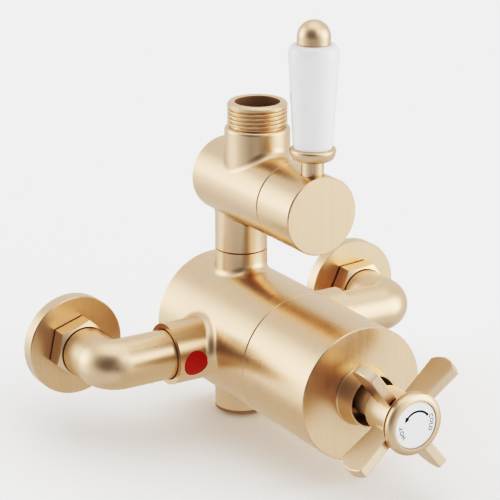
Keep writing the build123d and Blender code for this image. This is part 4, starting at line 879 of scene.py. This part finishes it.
class VALVE_OT_springs(bpy.types.Operator):
    """Put in the springs as merged copies of their CAD nodes, in drawn steel"""

    bl_idname = "valve.springs"
    bl_label = "Springs"

    def execute(self, context):
        for joint in frame["record"]["behaviour"]["joints"]:
            for entry in joint.get("deforming_nodes", ()):
                letter = entry["mode"][-1]
                axis = "xyz".index(letter)
                fixed = entry["fixed_end_" + letter + "_m"]
                low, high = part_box(entry["node"])
                start = Vector((0, 0, 0))
                start[axis] = fixed
                end = Vector((0, 0, 0))
                end[axis] = max((low[axis], high[axis]), key=lambda place: abs(place - fixed))
                spring = merged_copy(entry["node"], entry["node"] + "_dressed")
                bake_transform(spring)
                wear(spring, bpy.data.materials["Drawn steel"])
        return {"FINISHED"}


class VALVE_OT_index_print(bpy.types.Operator):
    """Print the curved arrow and the two words on the index disc"""

    bl_idname = "valve.index_print"
    bl_label = "Index print"

    def execute(self, context):
        look = context.scene.valve_print
        finish = context.scene.valve_finish
        low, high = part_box("knob_index")
        centre = ((low.x + high.x) / 2, (low.z + high.z) / 2)
        ink = clouded("Index ink", finish.ink, 0.45, 900.0)
        word_ink = clouded("Index word ink", finish.word_ink, 0.45, 900.0)
        self.arrow(centre, low.y, look, ink)
        for word, turn, shift in WORDS:
            self.word(word, radians(turn), look.word_radius + shift * MM, centre, low.y, look, word_ink)
        return {"FINISHED"}

    def arrow(self, centre, face, look, ink):
        """The curved arrow.

        A point is centre + (radius + half width * v) * (cos(turn), sin(turn)) with the turn going from the
        start to the end with u. The half width is even but for a small swelling at the start, then opens
        into the head and closes to its tip.
        """
        head = radians(ARROW_HEAD)
        steps = np.concatenate([
            np.linspace(look.arrow_start, look.arrow_end - head, 28),
            np.linspace(look.arrow_end - head * 0.999, look.arrow_end, 8)])
        left = np.clip((look.arrow_end - steps) / head, 0, 1)
        swelling = np.abs(steps - look.arrow_start - radians(TAIL_MIDDLE)) / radians(TAIL_REACH)
        line = look.arrow_width * (0.5 + TAIL_SWELLING * np.clip(1 - swelling, 0, 1))
        half = np.where(steps > look.arrow_end - head, left * look.arrow_width * HEAD_SPREAD, line)
        half = np.maximum(half, CLOSE * MM)
        front = face - look.ink_height
        back = face + ARROW_SINK * MM
        rows = []
        for v, level in ((-1, back), (-1, front), (1, front), (1, back)):
            radius = look.arrow_radius + v * half
            rows.append(np.stack([
                centre[0] + look.arrow_shift[0] + radius * np.cos(steps),
                np.full_like(steps, level),
                centre[1] + look.arrow_shift[1] + radius * np.sin(steps)], axis=-1))
        piece = sheet_object("index_arrow", close_ends(np.stack(rows, axis=1)), "temperature_knob")
        wear(piece, ink)

    def word(self, word, middle, foot, centre, face, look, ink):
        """A word that follows the rim clockwise.

        A flat letter point (x, y) goes to the turn middle - x / radius at the distance foot + y, where
        radius is that of the letters' middle.
        """
        curve = bpy.data.curves.new("word", "FONT")
        curve.body = word
        curve.size = look.word_height * LETTER_SIZE
        curve.space_character = LETTER_SPACE
        curve.align_x = "CENTER"
        curve.extrude = look.ink_height / 2
        curve.resolution_u = 3
        flat = bpy.data.objects.new("word", curve)
        mesh = bpy.data.meshes.new_from_object(flat)
        bpy.data.objects.remove(flat)
        bpy.data.curves.remove(curve)
        points = np.empty(len(mesh.vertices) * 3)
        mesh.vertices.foreach_get("co", points)
        points = points.reshape(-1, 3)
        turn = middle - points[:, 0] / (foot + look.word_height / 2)
        radius = foot + points[:, 1]
        placed = np.stack([
            centre[0] + radius * np.cos(turn),
            face - look.ink_height / 2 + WORD_SINK * MM - points[:, 2],
            centre[1] + radius * np.sin(turn)], axis=-1)
        mesh.vertices.foreach_set("co", placed.ravel())
        mesh.update()
        mesh.name = "index_word_" + word.lower()
        piece = bpy.data.objects.new(mesh.name, mesh)
        bpy.context.scene.collection.objects.link(piece)
        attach(piece, "temperature_knob")
        wear(piece, ink)


# Panel and registration

class VALVE_PT_panel(bpy.types.Panel):
    """Lists the steps in the sidebar"""

    bl_label = "Valve"
    bl_idname = "VALVE_PT_panel"
    bl_space_type = "VIEW_3D"
    bl_region_type = "UI"
    bl_category = "Valve"

    def draw(self, context):
        for operator in OPERATORS:
            self.layout.operator(operator.bl_idname)
        for group in SETTINGS:
            settings = getattr(context.scene, group)
            box = self.layout.box()
            for name in settings.__annotations__:
                box.prop(settings, name)


OPERATORS = (
    VALVE_OT_stage,
    VALVE_OT_brass,
    VALVE_OT_glaze,
    VALVE_OT_inner_finishes,
    VALVE_OT_outlet_thread,
    VALVE_OT_riser_seam,
    VALVE_OT_tail_threads,
    VALVE_OT_springs,
    VALVE_OT_index_print,
)
SETTINGS = {
    "valve_finish": ValveFinish,
    "valve_thread": ValveThread,
    "valve_print": ValvePrint,
    "valve_stage": ValveStage,
}


def register():
    """Register the settings, the steps and the panel."""
    for name, group in SETTINGS.items():
        bpy.utils.register_class(group)
        setattr(bpy.types.Scene, name, bpy.props.PointerProperty(type=group))
    for operator in OPERATORS:
        bpy.utils.register_class(operator)
    bpy.utils.register_class(VALVE_PT_panel)


def unregister():
    """Take them away again."""
    bpy.utils.unregister_class(VALVE_PT_panel)
    for operator in reversed(OPERATORS):
        bpy.utils.unregister_class(operator)
    for name, group in SETTINGS.items():
        delattr(bpy.types.Scene, name)
        bpy.utils.unregister_class(group)


def main():
    """Dress the valve."""
    register()
    bpy.ops.valve.stage()
    bpy.ops.valve.brass()
    bpy.ops.valve.glaze()
    bpy.ops.valve.inner_finishes()
    bpy.ops.valve.outlet_thread()
    bpy.ops.valve.riser_seam()
    bpy.ops.valve.tail_threads()
    bpy.ops.valve.springs()
    bpy.ops.valve.index_print()


if __name__ == "__main__":
    main()
